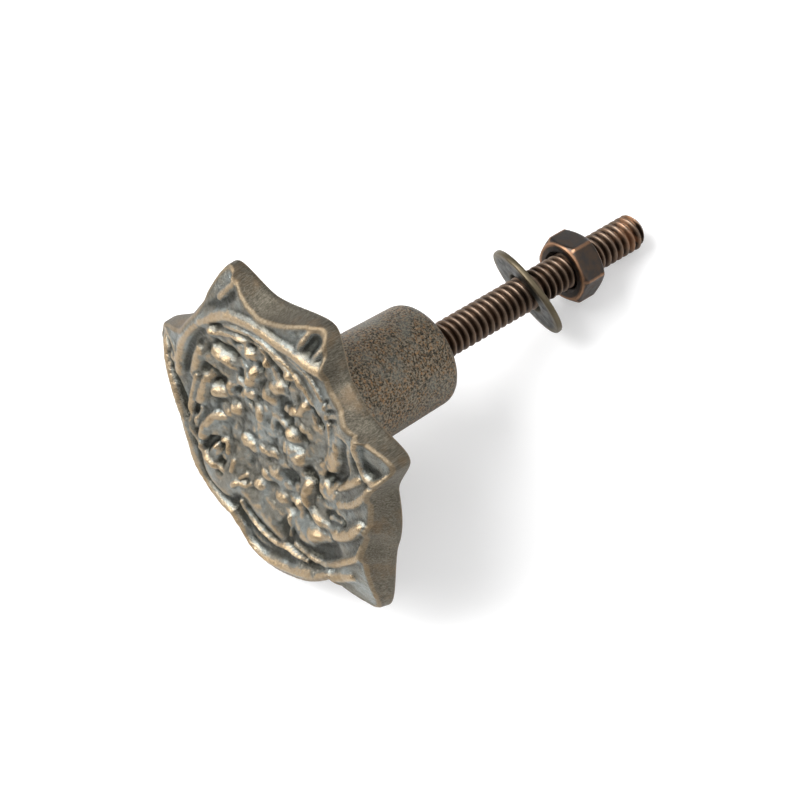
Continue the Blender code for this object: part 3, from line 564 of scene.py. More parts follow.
@dataclass
class Relief:
    """The carved front of the rosette, as a height over the bottom of its dish.

    Its strokes were sketched as they are seen on a plane at the sketch height, so each is moved along the
    line of sight to the level where it lies. Each noise plane is where a pattern is cut from a solid noise.
    """

    outline: Outline = field(default_factory=Outline)
    dish_radius: float = 8.5
    shoulder_radius: float = 15.5
    shoulder_height: float = 1.15
    crown_radius: float = 9.0
    crown_height: float = 0.35
    nose_fall_radius: float = 17.2
    nose_fall_power: float = 1.5
    eye_start: float = 18.4
    eye_gap: float = 1.5
    eye_depth: float = 0.35
    lip_height: float = 0.35
    lip_place: float = 1.3
    lip_width: float = 0.8
    roll_height: float = 0.62
    roll_inset: float = 1.35
    roll_width: float = 1.0
    roll_deg: float = -106.0
    roll_half_width_deg: float = 68.0
    roll_end_share: float = 0.18
    furrow_depth: float = 0.45
    furrow_inset: float = 2.9
    furrow_width: float = 0.9
    ridge_power: float = 1.5
    ridge_spread: float = 1.15
    hollow_power: float = 2.0
    hollow_strength: float = 0.85
    hollow_spread: float = 1.7
    farthest: float = 3.0
    blend_power: float = 3.0
    edge_land: float = 0.5
    edge_margin: float = 1.6
    lump_sizes: Point = (2.3, 0.95)
    lump_heights: Point = (0.22, 0.14)
    lump_plane: float = 0.5
    lump_radius: float = 15.5
    lump_fade: float = 3.0
    bud_size: float = 2.7
    bud_height: float = 0.16
    bud_level: float = 0.6
    bud_crease: float = 0.4
    bud_warp: float = 1.4
    warp_planes: Point = (4.0, 9.0)
    grain_height: float = 0.07
    grain_size: float = 0.42
    grain_layers: int = 2
    grain_plane: float = 0.3
    sketch_height: float = 1.2
    sight_lean: Point = (0.578, 1.561)
    spline_steps: int = 6

    strokes: tuple[Stroke, ...] = (
        # Scrolled ridge round the top, with the furrows and folds of leaf inside it
        Stroke(0.7, 0.9, 1.1, ((-15.5, 5), (-12.9, 9.4), (-10, 11.8), (-7.2, 13.4), (-4.4, 14.4),
                               (-2.3, 15.4), (0.4, 16.2), (2.9, 17.3), (4.9, 16.8), (7, 16.2), (9.1, 15.4),
                               (10.5, 15))),
        Stroke(0.6, 0.7, 0.7, ((-12, 8), (-10.4, 9.6), (-7.9, 11.2), (-6.5, 12.2), (-3.7, 12.7), (-1, 12.9),
                               (1, 12.6), (3, 11.7))),
        Stroke(-0.8, 0.6, 0.6, ((-12.3, 8.7), (-11.2, 9.7), (-8.7, 11.5), (-7, 12.7), (-5.1, 13),
                                (-2.3, 13.9), (-0.2, 14), (2, 13.4), (3.5, 12.6), (5, 11.5), (5.6, 11))),
        Stroke(-0.6, 0.6, 0.6, ((-9.3, 9.4), (-7.5, 10.7), (-5.7, 11.6), (-4.3, 12), (-2.9, 11.8),
                                (-1.1, 11.4))),
        Stroke(0.5, 0.5, 0.5, ((-6.9, 9.1), (-6.5, 10.2), (-5.4, 10.4), (-4.6, 9.8))),
        Stroke(-0.8, 0.8, 0.8, ((-5.8, 9.5), (-5.4, 9.7))),
        Stroke(-0.3, 0.7, 0.7, ((-12, 17.2), (-12.3, 14.4), (-14.1, 10.9), (-15.3, 7.5))),
        # Beaded fold at the upper right that curls into a long tongue, and the deep furrow beside it
        Stroke(0.6, 1.7, 1.8, ((8.3, 13.5), (8.9, 10.5), (9.2, 8), (8.7, 6))),
        Stroke(0.4, 0.4, 0.5, ((-2, 14.8), (0.8, 15.2), (3.6, 14.4), (4.9, 13.4), (6.1, 11.8), (6.9, 10.7),
                               (7.7, 8.6), (8, 6.5), (7.7, 4.7))),
        Stroke(-1.0, 0.8, 0.8, ((9.8, 13.4), (10.5, 10.7), (11.1, 9.6), (11.2, 8.4), (10.9, 6.8),
                                (9.9, 5.4))),
        Stroke(-0.35, 0.28, 0.28, ((4.9, 14.6), (5.7, 16.8))),
        Stroke(-0.35, 0.28, 0.28, ((5.7, 13.8), (6.9, 15.8))),
        Stroke(-0.35, 0.28, 0.28, ((6.4, 12.8), (7.8, 14.8))),
        # Folds at the left that roll in towards the middle
        Stroke(0.8, 0.9, 0.7, ((-13.7, 5.1), (-11.8, 7.2), (-10.1, 8.3), (-9, 8.6), (-7.2, 8.2), (-6.5, 7.2),
                               (-5.8, 5.1), (-6.3, 4))),
        Stroke(-0.8, 0.9, 0.9, ((-13.5, 3.5), (-12, 5.5), (-10.5, 6.5), (-9, 7.2), (-7.7, 6.8), (-6.5, 5.8))),
        Stroke(0.7, 1.1, 1.1, ((-12.5, 2.5), (-9.5, 3.6), (-8.2, 4.8), (-6.5, 4.4))),
        Stroke(-0.7, 0.9, 0.9, ((-11.4, 0.9), (-8.5, 1.4))),
        Stroke(0.8, 1.1, 1.1, ((-8.7, -0.7), (-10, -3.2))),
        Stroke(0.6, 0.7, 0.7, ((-6.5, 1.2), (-5, 2.75))),
        Stroke(-0.6, 0.5, 0.5, ((-7.4, 1.7), (-6, 3.3), (-4.2, 3))),
        # Ring and curved ribs at the right, with the thick loop that closes them
        Stroke(0.5, 0.7, 0.7, ((15.4, 10.4), (15.8, 8.6), (16.2, 6.8), (16.75, 5.1), (18.1, 3), (19, 0.9))),
        Stroke(0.7, 0.6, 0.6, ((16.75, 5.1), (16.6, 3.7), (16.9, 1.6), (17, -0.4), (17, -2.7), (16.5, -4.3),
                               (15.5, -6.3), (14.7, -7.9), (13.6, -9.9), (12.4, -11.3), (10.5, -12.5))),
        Stroke(0.6, 0.6, 0.8, ((13, 8.6), (12.3, 6.8), (11.3, 4.8), (10.2, 3.4))),
        Stroke(0.6, 0.6, 0.8, ((14.7, 8.6), (14.4, 6.5), (13.7, 4.3), (12.7, 2.6), (11.9, 1.6))),
        Stroke(0.9, 0.9, 1.0, ((15.6, 1.4), (15.2, 0.4), (14.7, -1.3), (13.6, -3.1), (11.9, -4.5),
                               (9.8, -5.2), (8, -4.5), (7, -3.1), (6.9, -1.3))),
        Stroke(-0.7, 1.0, 1.0, ((9.3, -3.2), (11.5, -3.4), (12.9, -1.9))),
        Stroke(0.4, 0.4, 0.4, ((11.3, -2), (13, -0.8))),
        Stroke(-0.6, 0.6, 0.6, ((13.7, 1.1), (11.6, -0.4))),
        Stroke(0.7, 1.4, 1.4, ((8.9, 0.5), (10.2, 1.7))),
        Stroke(-0.7, 1.0, 1.0, ((6.9, 2.9), (9.2, 1.6))),
        Stroke(0.8, 0.7, 0.8, ((10.2, 13.6), (10.8, 12), (11.9, 10.3), (13.3, 9.4), (14.6, 9.9), (15.6, 11.2),
                               (16.4, 12.9))),
        Stroke(0.6, 0.6, 0.8, ((10.1, 14.4), (11.9, 14.7), (14, 15.7), (16.3, 16.8))),
        Stroke(-0.6, 1.5, 1.5, ((12.4, 12), (14.8, 12.8))),
        # Rim up the left side and at the lower right, and the fold along the upper left tip
        Stroke(0.5, 0.9, 1.1, ((-14.2, 8.2), (-15.2, 6), (-16.1, 3.6), (-16.7, 1.3), (-16.9, -1.1),
                               (-16.7, -3.6), (-16, -6.2))),
        Stroke(-0.4, 0.7, 0.7, ((-14.2, 5), (-15.1, 2.6), (-15.4, 0), (-15.2, -3))),
        Stroke(0.35, 0.7, 0.7, ((-13.2, 3.6), (-14.1, 1.2), (-14.3, -1.4), (-13.9, -4))),
        Stroke(0.5, 0.5, 0.6, ((-14.2, 11.6), (-13.6, 13.8), (-13.1, 15.6), (-12.9, 17))),
        Stroke(0.5, 0.8, 0.8, ((8, -17.8), (10, -16.3), (12, -14.5), (14, -11.8), (15.6, -9.6), (17.4, -7))),
        # Deep hollows at the bottom with the thin folds between them
        Stroke(-1.1, 1.9, 1.9, ((13.8, -4.6), (13.2, -7.6), (11.2, -9.9), (9, -10.6), (7.6, -9.6))),
        Stroke(0.5, 0.4, 0.4, ((6.3, -8.9), (6.5, -10.6), (6.6, -11.8), (6.9, -12.8))),
        Stroke(0.6, 0.5, 0.5, ((8, -13.4), (9.1, -13.1), (10.5, -12.5), (11.9, -11.7))),
        Stroke(0.8, 1.4, 1.4, ((11.8, -6.2), (10, -8.2))),
        Stroke(-1.1, 1.9, 1.9, ((0.2, -14.6), (3, -14.8), (6, -14.4), (8.4, -13.9))),
        Stroke(0.7, 0.5, 0.5, ((-1.2, -16.3), (-0.2, -17.1), (2.2, -17.5), (4.3, -17.2), (5.8, -16.6),
                               (7, -15.4), (9.1, -14.5), (10.5, -13.6))),
        Stroke(0.5, 0.5, 0.5, ((-1.6, -12.4), (-2.6, -13.5), (-3, -14.5))),
        Stroke(-0.5, 0.6, 0.6, ((12.6, -12.4), (11.2, -14.2), (9.1, -16), (6.3, -17.5), (3.6, -18.3),
                                (-0.6, -18.3))),
        # Fan of finger-like folds at the lower left, inside the rim
        Stroke(0.6, 0.6, 0.6, ((-13.4, -4), (-13.2, -6.3), (-13, -8.1), (-12.4, -10.8), (-11.2, -13.2),
                               (-8.7, -14.7), (-7.2, -15), (-5.7, -14.7))),
        Stroke(0.6, 1.0, 1.0, ((-11.8, -1.6), (-12, -4.6), (-11.9, -7.2))),
        Stroke(0.5, 0.5, 0.5, ((-11.2, -8.2), (-11.2, -12.2))),
        Stroke(-0.6, 0.6, 0.6, ((-10.8, -6.6), (-10.7, -7.2))),
        Stroke(0.7, 0.9, 0.7, ((-8, -5.5), (-9.1, -7.1), (-9.7, -9), (-10, -11), (-9.8, -12.4))),
        Stroke(-0.7, 0.5, 0.5, ((-7.9, -12.4), (-7.5, -9.6), (-6.8, -8.2), (-5.7, -7.5), (-4.7, -8.2),
                                (-5, -10.3), (-4.8, -13))),
        Stroke(0.6, 0.5, 0.5, ((-7.5, -11.8), (-6.6, -9.3), (-5.9, -8.5), (-5.4, -9.6), (-5.7, -11),
                               (-5.9, -12.4))),
        Stroke(0.5, 0.5, 0.5, ((-3.9, -10.3), (-3.9, -12.4))),
        Stroke(0.4, 0.4, 0.4, ((-1.5, -9.9), (-2.2, -11.6))),
        Stroke(0.4, 0.4, 0.4, ((-0.5, -10.7), (-1.1, -12))),
        # Small buds and pits in the middle of the dish
        Stroke(0.8, 1.3, 1.3, ((-2.4, 7.7), (-2, 8.1))),
        Stroke(0.6, 0.7, 0.7, ((-1.9, 10.4), (-1.3, 11.3))),
        Stroke(0.7, 1.2, 1.2, ((-3, 5.4), (-2.5, 5.6))),
        Stroke(-0.8, 1.0, 1.0, ((0.5, 9.1), (1.4, 7.6))),
        Stroke(0.8, 0.8, 0.8, ((2.2, 9.9), (2, 8.5), (1, 7.2), (0, 6))),
        Stroke(0.7, 1.1, 1.1, ((3.6, 6.0), (4.0, 6.2))),
        Stroke(-0.6, 0.9, 0.9, ((4.6, 7.5), (4.8, 7.7))),
        Stroke(0.7, 1.1, 1.1, ((2.1, 3.6), (2.5, 3.8))),
        Stroke(-0.6, 0.8, 0.8, ((0.8, 4.2), (1.2, 4.4))),
        Stroke(1.0, 1.7, 1.7, ((2.8, 0.7), (3.8, 0.9))),
        Stroke(-0.8, 1.1, 1.1, ((4.7, -1.3), (5.1, -0.9))),
        Stroke(0.7, 1.1, 1.1, ((-6.8, -2.5), (-6.4, -2.3))),
        Stroke(0.6, 1.0, 1.0, ((-7.9, -3.9), (-7.5, -3.7))),
        Stroke(0.8, 1.3, 1.3, ((-3.4, -5.3), (-2.6, -5.1))),
        Stroke(0.7, 1.1, 1.1, ((1.8, -5.1), (2.2, -4.9))),
        Stroke(0.7, 1.1, 1.1, ((6.1, -5.9), (6.5, -5.5))),
        Stroke(-0.7, 0.8, 0.8, ((6.9, -4.9), (7.1, -4.5))),
        Stroke(0.7, 1.0, 1.0, ((0.7, -6.9), (1.1, -6.7))),
        Stroke(0.6, 1.0, 1.0, ((3.9, -7.5), (4.3, -7.3))),
        Stroke(0.6, 0.9, 0.9, ((0.4, -9.4), (0.8, -9.2))),
        Stroke(0.5, 0.9, 0.9, ((0.9, -2.3), (-0.6, -3.2))),
        Stroke(0.5, 0.8, 0.8, ((5.2, -3.4), (5.6, -3.4))),
        Stroke(0.5, 1.0, 1.0, ((-3.3, 1.6), (-2.4, 0.2))),
    )

    def dish(self, x: np.ndarray, z: np.ndarray) -> np.ndarray:
        """Works out the plain dish, with its falling tips, before it is carved.

        Args:
            x: Places across the front.
            z: Places up the front.

        Returns:
            The height at each place.
        """
        radius = np.hypot(x, z)
        angle = np.arctan2(z, x)
        slope = (radius - self.dish_radius) / (self.shoulder_radius - self.dish_radius)
        height = self.shoulder_height * smooth(slope)
        height = height + self.crown_height * (1.0 - smooth(radius / self.crown_radius))
        for tip in self.outline.tips:
            near = hump(turned_by(angle, tip.angle_deg) / max(tip.left_deg, tip.right_deg))
            span = tip.radius - self.nose_fall_radius
            along = np.clip((radius - self.nose_fall_radius) / span, 0.0, 1.0)
            height = height - tip.fall * near * along**self.nose_fall_power
        return height

    def spline(self, points: list[np.ndarray]) -> np.ndarray:
        """Draws a smooth line.

        Args:
            points: The places that it runs through.

        Returns:
            Points along the line.
        """
        ends = [2 * points[0] - points[1], *points, 2 * points[-1] - points[-2]]
        line = [points[0]]
        for before, start, end, after in zip(ends, ends[1:], ends[2:], ends[3:]):
            for i in range(1, self.spline_steps + 1):
                t = i / self.spline_steps
                bend = (2 * before - 5 * start + 4 * end - after) * t**2
                twist = (3 * start - before - 3 * end + after) * t**3
                line.append(0.5 * (2 * start + (end - before) * t + bend + twist))
        return np.array(line)

    def distance(self, line: np.ndarray, widths: Point, x: np.ndarray, z: np.ndarray) -> np.ndarray:
        """Measures how far places lie from a line.

        Args:
            line: Points along the line.
            widths: The units to measure in, on the line's left side and on its right.
            x: Places across the front.
            z: Places up the front.

        Returns:
            The distance of each place in widths, up to the farthest that counts.
        """
        reach = self.farthest * max(widths)
        low, high = line.min(axis=0) - reach, line.max(axis=0) + reach
        inside = (x > low[0]) & (x < high[0]) & (z > low[1]) & (z < high[1])
        px, pz = x[inside], z[inside]
        nearest = np.full(px.shape, self.farthest)
        for start, end in zip(line, line[1:]):
            run = end - start
            along = np.clip(((px - start[0]) * run[0] + (pz - start[1]) * run[1]) / (run @ run), 0.0, 1.0)
            off_x = px - start[0] - along * run[0]
            off_z = pz - start[1] - along * run[1]
            left_side = run[0] * off_z - run[1] * off_x > 0.0
            nearest = np.minimum(nearest, np.hypot(off_x, off_z) / np.where(left_side, *widths))
        everywhere = np.full_like(x, self.farthest)
        everywhere[inside] = nearest
        return everywhere

    def stroke_lift(self, stroke: Stroke, x: np.ndarray, z: np.ndarray) -> np.ndarray:
        """Works out a stroke where it lies, since it was sketched along the line of sight.

        Args:
            stroke: The ridge or hollow.
            x: Places across the front.
            z: Places up the front.

        Returns:
            Its rise at each place.
        """
        placed = []
        for point in stroke.points:
            place = np.array(point, float)
            level = float(self.dish(place[:1], place[1:])[0]) + stroke.rise
            placed.append(place + (level - self.sketch_height) * np.array(self.sight_lean))
        rise, power, spread = stroke.rise, self.ridge_power, self.ridge_spread
        if stroke.rise < 0.0:
            rise, power, spread = self.hollow_strength * stroke.rise, self.hollow_power, self.hollow_spread
        widths = (stroke.left_width * spread, stroke.right_width * spread)
        return rise * hump(self.distance(self.spline(placed), widths, x, z), power)

    def eye_lifts(self, tip: Tip, x: np.ndarray, z: np.ndarray) -> tuple[np.ndarray, np.ndarray]:
        """Works out the long eye that runs out along a tip.

        Args:
            tip: The tip.
            x: Places across the front.
            z: Places up the front.

        Returns:
            The rise of its lip and of its hollow at each place.
        """
        angle = math.radians(tip.angle_deg)
        way = np.array([math.cos(angle), math.sin(angle)])
        line = np.array([way * self.eye_start, way * (tip.radius - self.eye_gap)])
        off = self.distance(line, (tip.eye, tip.eye), x, z)
        return self.lip_height * hump((off - self.lip_place) / self.lip_width), -self.eye_depth * hump(off)

    def swelling(self, x: np.ndarray, z: np.ndarray) -> np.ndarray:
        """Works out the uneven swelling of the cast leaves, which fades out towards the rim.

        Args:
            x: Places across the front.
            z: Places up the front.

        Returns:
            The rise at each place.
        """
        total = np.zeros_like(x)
        for size, height in zip(self.lump_sizes, self.lump_heights):
            lumps = [noise.noise(Vector((a / size, b / size, self.lump_plane))) for a, b in zip(x, z)]
            total = total + height * np.array(lumps)
        total = total + self.bud_height * (self.buds(x, z) - self.bud_level)
        past = np.hypot(x, z) - self.lump_radius + self.lump_fade
        return total * (1.0 - smooth(past / self.lump_fade))

    def buds(self, x: np.ndarray, z: np.ndarray) -> np.ndarray:
        """Works out the uneven buds between the scrolls, and the creases that part them.

        Args:
            x: Places across the front.
            z: Places up the front.

        Returns:
            1 on a bud and 0 in a crease, at each place.
        """
        # Two plain noises bend the buds, since Blender's vector noise changes from run to run
        size = self.bud_size
        rise = []
        for a, b in zip(x / size, z / size):
            bent = [self.bud_warp / size * noise.noise(Vector((a, b, plane))) for plane in self.warp_planes]
            near, following = noise.voronoi(Vector((a + bent[0], b + bent[1], 0.0)))[0][:2]
            rise.append(following - near)
        return smooth(np.array(rise) / self.bud_crease)

    def roll(self, x: np.ndarray, z: np.ndarray, inset: np.ndarray) -> tuple[np.ndarray, np.ndarray]:
        """Works out the rolled rim along the left and the bottom of the edge.

        Args:
            x: Places across the front.
            z: Places up the front.
            inset: How far inside the edge each place is.

        Returns:
            The rise of the roll and of the furrow inside it at each place.
        """
        turn = turned_by(np.arctan2(z, x), self.roll_deg) / self.roll_half_width_deg
        share = smooth((1.0 - np.abs(turn)) / self.roll_end_share)
        crest = self.roll_height * hump((inset - self.roll_inset) / self.roll_width, self.ridge_power)
        furrow = self.furrow_depth * hump((inset - self.furrow_inset) / self.furrow_width)
        return crest * share, -furrow * share

    def carving(self, x: np.ndarray, z: np.ndarray) -> np.ndarray:
        """Blends the strokes, the eyes and the rolled rim into one carving.

        Args:
            x: Places across the front.
            z: Places up the front.

        Returns:
            How far the carving stands over the plain dish at each place.
        """
        lifts = [self.stroke_lift(stroke, x, z) for stroke in self.strokes]
        for tip in self.outline.tips:
            if tip.eye:
                lifts += self.eye_lifts(tip, x, z)
        inset = self.outline.front(np.arctan2(z, x)) - np.hypot(x, z)
        lifts += self.roll(x, z, inset)
        power = self.blend_power
        ridges = sum(np.maximum(lift, 0.0) ** power for lift in lifts) ** (1.0 / power)
        hollows = sum(np.maximum(-lift, 0.0) ** power for lift in lifts) ** (1.0 / power)
        inner = smooth((inset - self.edge_land) / self.edge_margin)
        return ridges - hollows * inner + self.swelling(x, z)

    def grain(self, x: np.ndarray, z: np.ndarray) -> np.ndarray:
        """Works out the fine unevenness of the cast skin.

        Args:
            x: Places across the front.
            z: Places up the front.

        Returns:
            The rise at each place.
        """
        size, fall, step = self.grain_size, 1.0, 2.0
        places = [Vector((a / size, b / size, self.grain_plane)) for a, b in zip(x, z)]
        return self.grain_height * np.array([noise.fractal(p, fall, step, self.grain_layers) for p in places])


def blurred(grid: np.ndarray, reach: int) -> np.ndarray:
    """Averages a grid of heights over its neighbours, three times over.

    Args:
        grid: The heights.
        reach: How many cells each way are averaged.

    Returns:
        The smoothed heights.
    """
    for _ in range(3):
        for axis in (0, 1):
            wide = np.pad(grid, [(reach, reach) if a == axis else (0, 0) for a in (0, 1)], mode="edge")
            total = np.insert(np.cumsum(wide, axis=axis), 0, 0.0, axis=axis)
            span = 2 * reach + 1
            low = np.take(total, range(0, total.shape[axis] - span), axis=axis)
            high = np.take(total, range(span, total.shape[axis]), axis=axis)
            grid = (high - low) / span
    return grid


@dataclass(frozen=True)
class WearAndShade:
    """A mask of wear on the ridges, and of dark patina with painted shade in the hollows, that follows how far
    the carving stands over the cells round it, or under them.

    It reaches its share where that is the full height in millimetres, which is negative for a hollow.
    """

    cells: int
    full: float
    share: float

    def amount(self, grid: np.ndarray) -> np.ndarray:
        """Returns the mask at each point of a grid of heights: wear on ridges, patina and painted shade in
        hollows.
        """
        return np.clip((grid - blurred(grid, self.cells)) / self.full, 0.0, 1.0) * self.share


@dataclass(frozen=True)
class Ring:
    """One ring of a loft: the radius of its points, their place along Y and their wear."""

    radius: np.ndarray | float
    depth: np.ndarray | float
    wear: np.ndarray | float = 0.0


def ring_points(rings: list[Ring], around: np.ndarray) -> tuple[np.ndarray, np.ndarray]:
    """Turns rings into points.

    Args:
        rings: The rings in order.
        around: The angle of each point of a ring, in radians from +X towards +Z.

    Returns:
        The points, and the wear of each.
    """
    points = []
    wear = []
    for ring in rings:
        places = (ring.radius * np.cos(around), ring.depth, ring.radius * np.sin(around))
        points.append(np.stack(np.broadcast_arrays(*places), axis=1))
        wear.append(np.broadcast_to(ring.wear, around.shape))
    return np.concatenate(points), np.concatenate(wear)


def numbered(count: int, sides: int, start: int = 0) -> list[list[int]]:
    """Returns the point numbers of each of a count of rings, which have as many points as sides."""
    return [list(range(start + i * sides, start + (i + 1) * sides)) for i in range(count)]


def ring_faces(rings: list[list[int]]) -> list[Face]:
    """Joins each ring to the next one.

    Args:
        rings: The point numbers of rings of as many points, in order.

    Returns:
        The faces between them.
    """
    faces = []
    for first, second in zip(rings, rings[1:]):
        onward = zip(first, second, second[1:] + second[:1], first[1:] + first[:1])
        faces += list(onward)
    return faces


def arc(centre: Point, radius: float, start_deg: float, end_deg: float, steps: int) -> list[Point]:
    """Returns points along an arc, as (radius, height) pairs of a turned profile."""
    angles = [math.radians(start_deg + (end_deg - start_deg) * i / steps) for i in range(steps + 1)]
    return [(centre[0] + radius * math.cos(a), centre[1] + radius * math.sin(a)) for a in angles]


def add_object(name: str, data: bpy.types.ID) -> bpy.types.Object:
    """Adds an object to the scene.

    Args:
        name: The object's name.
        data: Its mesh, light or camera.

    Returns:
        The new object.
    """
    made = bpy.data.objects.new(name, data)
    bpy.context.scene.collection.objects.link(made)
    return made


def add_piece(name: str, points: np.ndarray, faces: list[Face], material: bpy.types.Material,
              kept: dict[str, np.ndarray], sharp_deg: float) -> bpy.types.Object:
    """Makes a smooth piece from points and faces.

    Args:
        name: The piece's name.
        points: Places in millimetres.
        faces: Point numbers of each face, facing out.
        material: The finish.
        kept: Values that the mesh keeps for each point, by name.
        sharp_deg: Edges that turn by more than this stay crisp.

    Returns:
        The new object.
    """
    mesh = bpy.data.meshes.new(name)
    mesh.from_pydata((points * MM).tolist(), [], faces)
    for key, values in kept.items():
        layer = mesh.attributes.new(key, "FLOAT", "POINT")
        layer.data.foreach_set("value", np.asarray(values, np.float32))
    mesh.materials.append(material)
    mesh.shade_smooth()
    mesh.set_sharp_from_angle(angle=math.radians(sharp_deg))
    return add_object(name, mesh)


def dressed(piece: bpy.types.Object, body: Body, node: Node) -> bpy.types.Object:
    """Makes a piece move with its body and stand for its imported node, and reports it.

    Args:
        piece: The piece.
        body: The body that carries it.
        node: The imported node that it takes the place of.

    Returns:
        The same piece.
    """
    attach(piece, body.value)
    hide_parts(node.value)
    LOG.info("%s: %d faces on %s", piece.name, len(piece.data.polygons), body.value)
    return piece


@dataclass
class KnobCasting:
    """Head and stem in one casting, lofted as rings from the carved front to the hole in the stem's end."""

    relief: Relief = field(default_factory=Relief)
    finish: AgedBronze = field(default_factory=AgedBronze)
    cells: int = 216
    floor_thickness: float = 2.6
    front_round: float = 0.75
    back_round: float = 0.45
    dressed_depth: float = 0.9
    dressed_deg: float = 66.0
    dressed_half_width_deg: float = 24.0
    dressed_share: float = 0.5
    stem_length: float = 20.8
    stem_end_radius: float = 6.69
    stem_root_radius: float = 7.1
    stem_end_round: float = 1.5
    foot_fillet: float = 2.2
    hole_radius: float = 2.45
    hole_depth: float = 12.0
    hole_chamfer: float = 0.4
    hole_land: float = 0.6
    round_rings: int = 4
    wall_rings: int = 5
    back_rings: int = 6
    back_start: float = 0.15
    arc_steps: int = 7
    shaft_steps: int = 13
    ridge_wear: tuple[WearAndShade, ...] = (WearAndShade(2, 0.07, 0.6), WearAndShade(7, 0.5, 0.35))
    # How dark the hollows get, as dark patina and painted shade, the deeper a place lies under its neighbours.
    hollow_patina_and_shade: tuple[WearAndShade, ...] = (WearAndShade(2, -0.08, 0.2), WearAndShade(12, -0.6, 0.85))
    edge_wear: float = 0.3
    rim_wall: float = 0.3
    sharp_deg: float = 50.0

    def round_grid(self) -> tuple[np.ndarray, np.ndarray]:
        """Wraps a square grid into a round one.

        Returns:
            The angle of each of its points, and the place from 0 in the middle to 1 at the edge.
        """
        steps = np.linspace(-1.0, 1.0, self.cells + 1)
        u, v = (grid.ravel() for grid in np.meshgrid(steps, steps))
        wide = np.abs(u) >= np.abs(v)
        with np.errstate(divide="ignore", invalid="ignore"):
            turn_wide = np.where(u != 0.0, v / u, 0.0) * math.pi / 4.0
            turn_tall = math.pi / 2.0 - np.where(v != 0.0, u / v, 0.0) * math.pi / 4.0
        out = np.where(wide, u, v)
        angle = np.where(wide, turn_wide, turn_tall)
        return np.where(out < 0.0, angle + math.pi, angle), np.abs(out)

    def front_faces(self) -> tuple[list[Face], list[int]]:
        """Numbers the grid of the front.

        Returns:
            Its faces, and its boundary in order.
        """
        n, row = self.cells, self.cells + 1
        corners = [r * row + c for r in range(n) for c in range(n)]
        faces = [(first, first + 1, first + row + 1, first + row) for first in corners]
        rim = list(range(n)) + [r * row + n for r in range(n)]
        rim += [n * row + c for c in range(n, 0, -1)] + [r * row for r in range(n, 0, -1)]
        return faces, rim

    def front(self) -> tuple[np.ndarray, np.ndarray, np.ndarray]:
        """Builds the carved front as a square grid wrapped on to the outline.

        Returns:
            The points, and how much each of them is a ridge and a hollow.
        """
        angle, out = self.round_grid()
        valley = self.relief.outline.front_valley
        edge = self.relief.outline.front(angle) - self.front_round
        radius = out * (valley + (edge - valley) * out**3)
        x, z = radius * np.cos(angle), radius * np.sin(angle)
        carving = self.relief.carving(x, z)
        height = self.relief.dish(x, z) + carving + self.relief.grain(x, z)
        points = np.stack([x, -self.stem_length - self.floor_thickness - height, z], axis=1)
        grid = carving.reshape(self.cells + 1, self.cells + 1)
        ridge = sum(wear.amount(grid) for wear in self.ridge_wear)
        # Darkening of the hollows: dark patina and painted shade.
        hollow = sum(patina_and_shade_mask.amount(grid) for patina_and_shade_mask in self.hollow_patina_and_shade)
        return points, ridge.ravel(), hollow.ravel()

    def head_rings(self, angles: np.ndarray, front: np.ndarray) -> list[Ring]:
        """Works out the rings of the wall and the back, whose patch at the upper right was dressed lower.

        Args:
            angles: The angle of each point round the rim.
            front: The depth of the front at each of them.

        Returns:
            The rings from the front edge to the foot of the stem.
        """
        edge = self.relief.outline.front(angles)
        flare = self.relief.outline.back(angles) - edge
        cut = self.dressed_depth * hump(turned_by(angles, self.dressed_deg) / self.dressed_half_width_deg)
        back = -self.stem_length - cut
        turns = np.linspace(1.0 / self.round_rings, 1.0, self.round_rings) * math.pi / 2.0
        worn = [self.edge_wear] * (self.round_rings - 1) + [0.0]
        rings = []
        for turn, wear in zip(turns, worn):
            inset = self.front_round * (1.0 - math.sin(turn))
            rings.append(Ring(edge - inset, front + self.front_round * (1.0 - math.cos(turn)), wear))
        start, end = front + self.front_round, back - self.back_round
        for t in np.linspace(1.0 / self.wall_rings, 1.0, self.wall_rings):
            rings.append(Ring(edge + flare * t, start + (end - start) * t))
        for turn, wear in zip(turns, worn):
            inset = self.back_round * (1.0 - math.cos(turn))
            rings.append(Ring(edge + flare - inset, end + self.back_round * math.sin(turn), wear))
        foot = self.stem_root_radius + self.foot_fillet
        last = rings[-1].radius
        for t in np.linspace(self.back_start, 1.0, self.back_rings):
            level = min(1.0, t / self.dressed_share)
            rings.append(Ring(last + (foot - last) * t, back + (-self.stem_length - back) * level))
        return rings

    def stem_profile(self) -> list[Point]:
        """Works out the turned shape of the stem.

        Returns:
            The (radius, depth) places of its rings, from its foot to the bottom of its hole.
        """
        foot = (self.stem_root_radius + self.foot_fillet, -self.stem_length + self.foot_fillet)
        fillet = arc(foot, self.foot_fillet, 270.0, 180.0, self.arc_steps)[1:]
        end = (self.stem_end_radius - self.stem_end_round, -self.stem_end_round)
        shaft = []
        for t in np.linspace(0.0, 1.0, self.shaft_steps + 1)[1:-1]:
            radius = self.stem_root_radius + (self.stem_end_radius - self.stem_root_radius) * t
            shaft.append((radius, foot[1] + (end[1] - foot[1]) * t))
        profile = fillet + shaft + arc(end, self.stem_end_round, 0.0, 90.0, self.arc_steps)
        mouth = self.hole_radius + self.hole_chamfer
        profile += [(mouth + self.hole_land, 0.0), (mouth, 0.0), (self.hole_radius, -self.hole_chamfer)]
        return profile + [(self.hole_radius, -self.hole_depth / 2.0), (self.hole_radius, -self.hole_depth)]

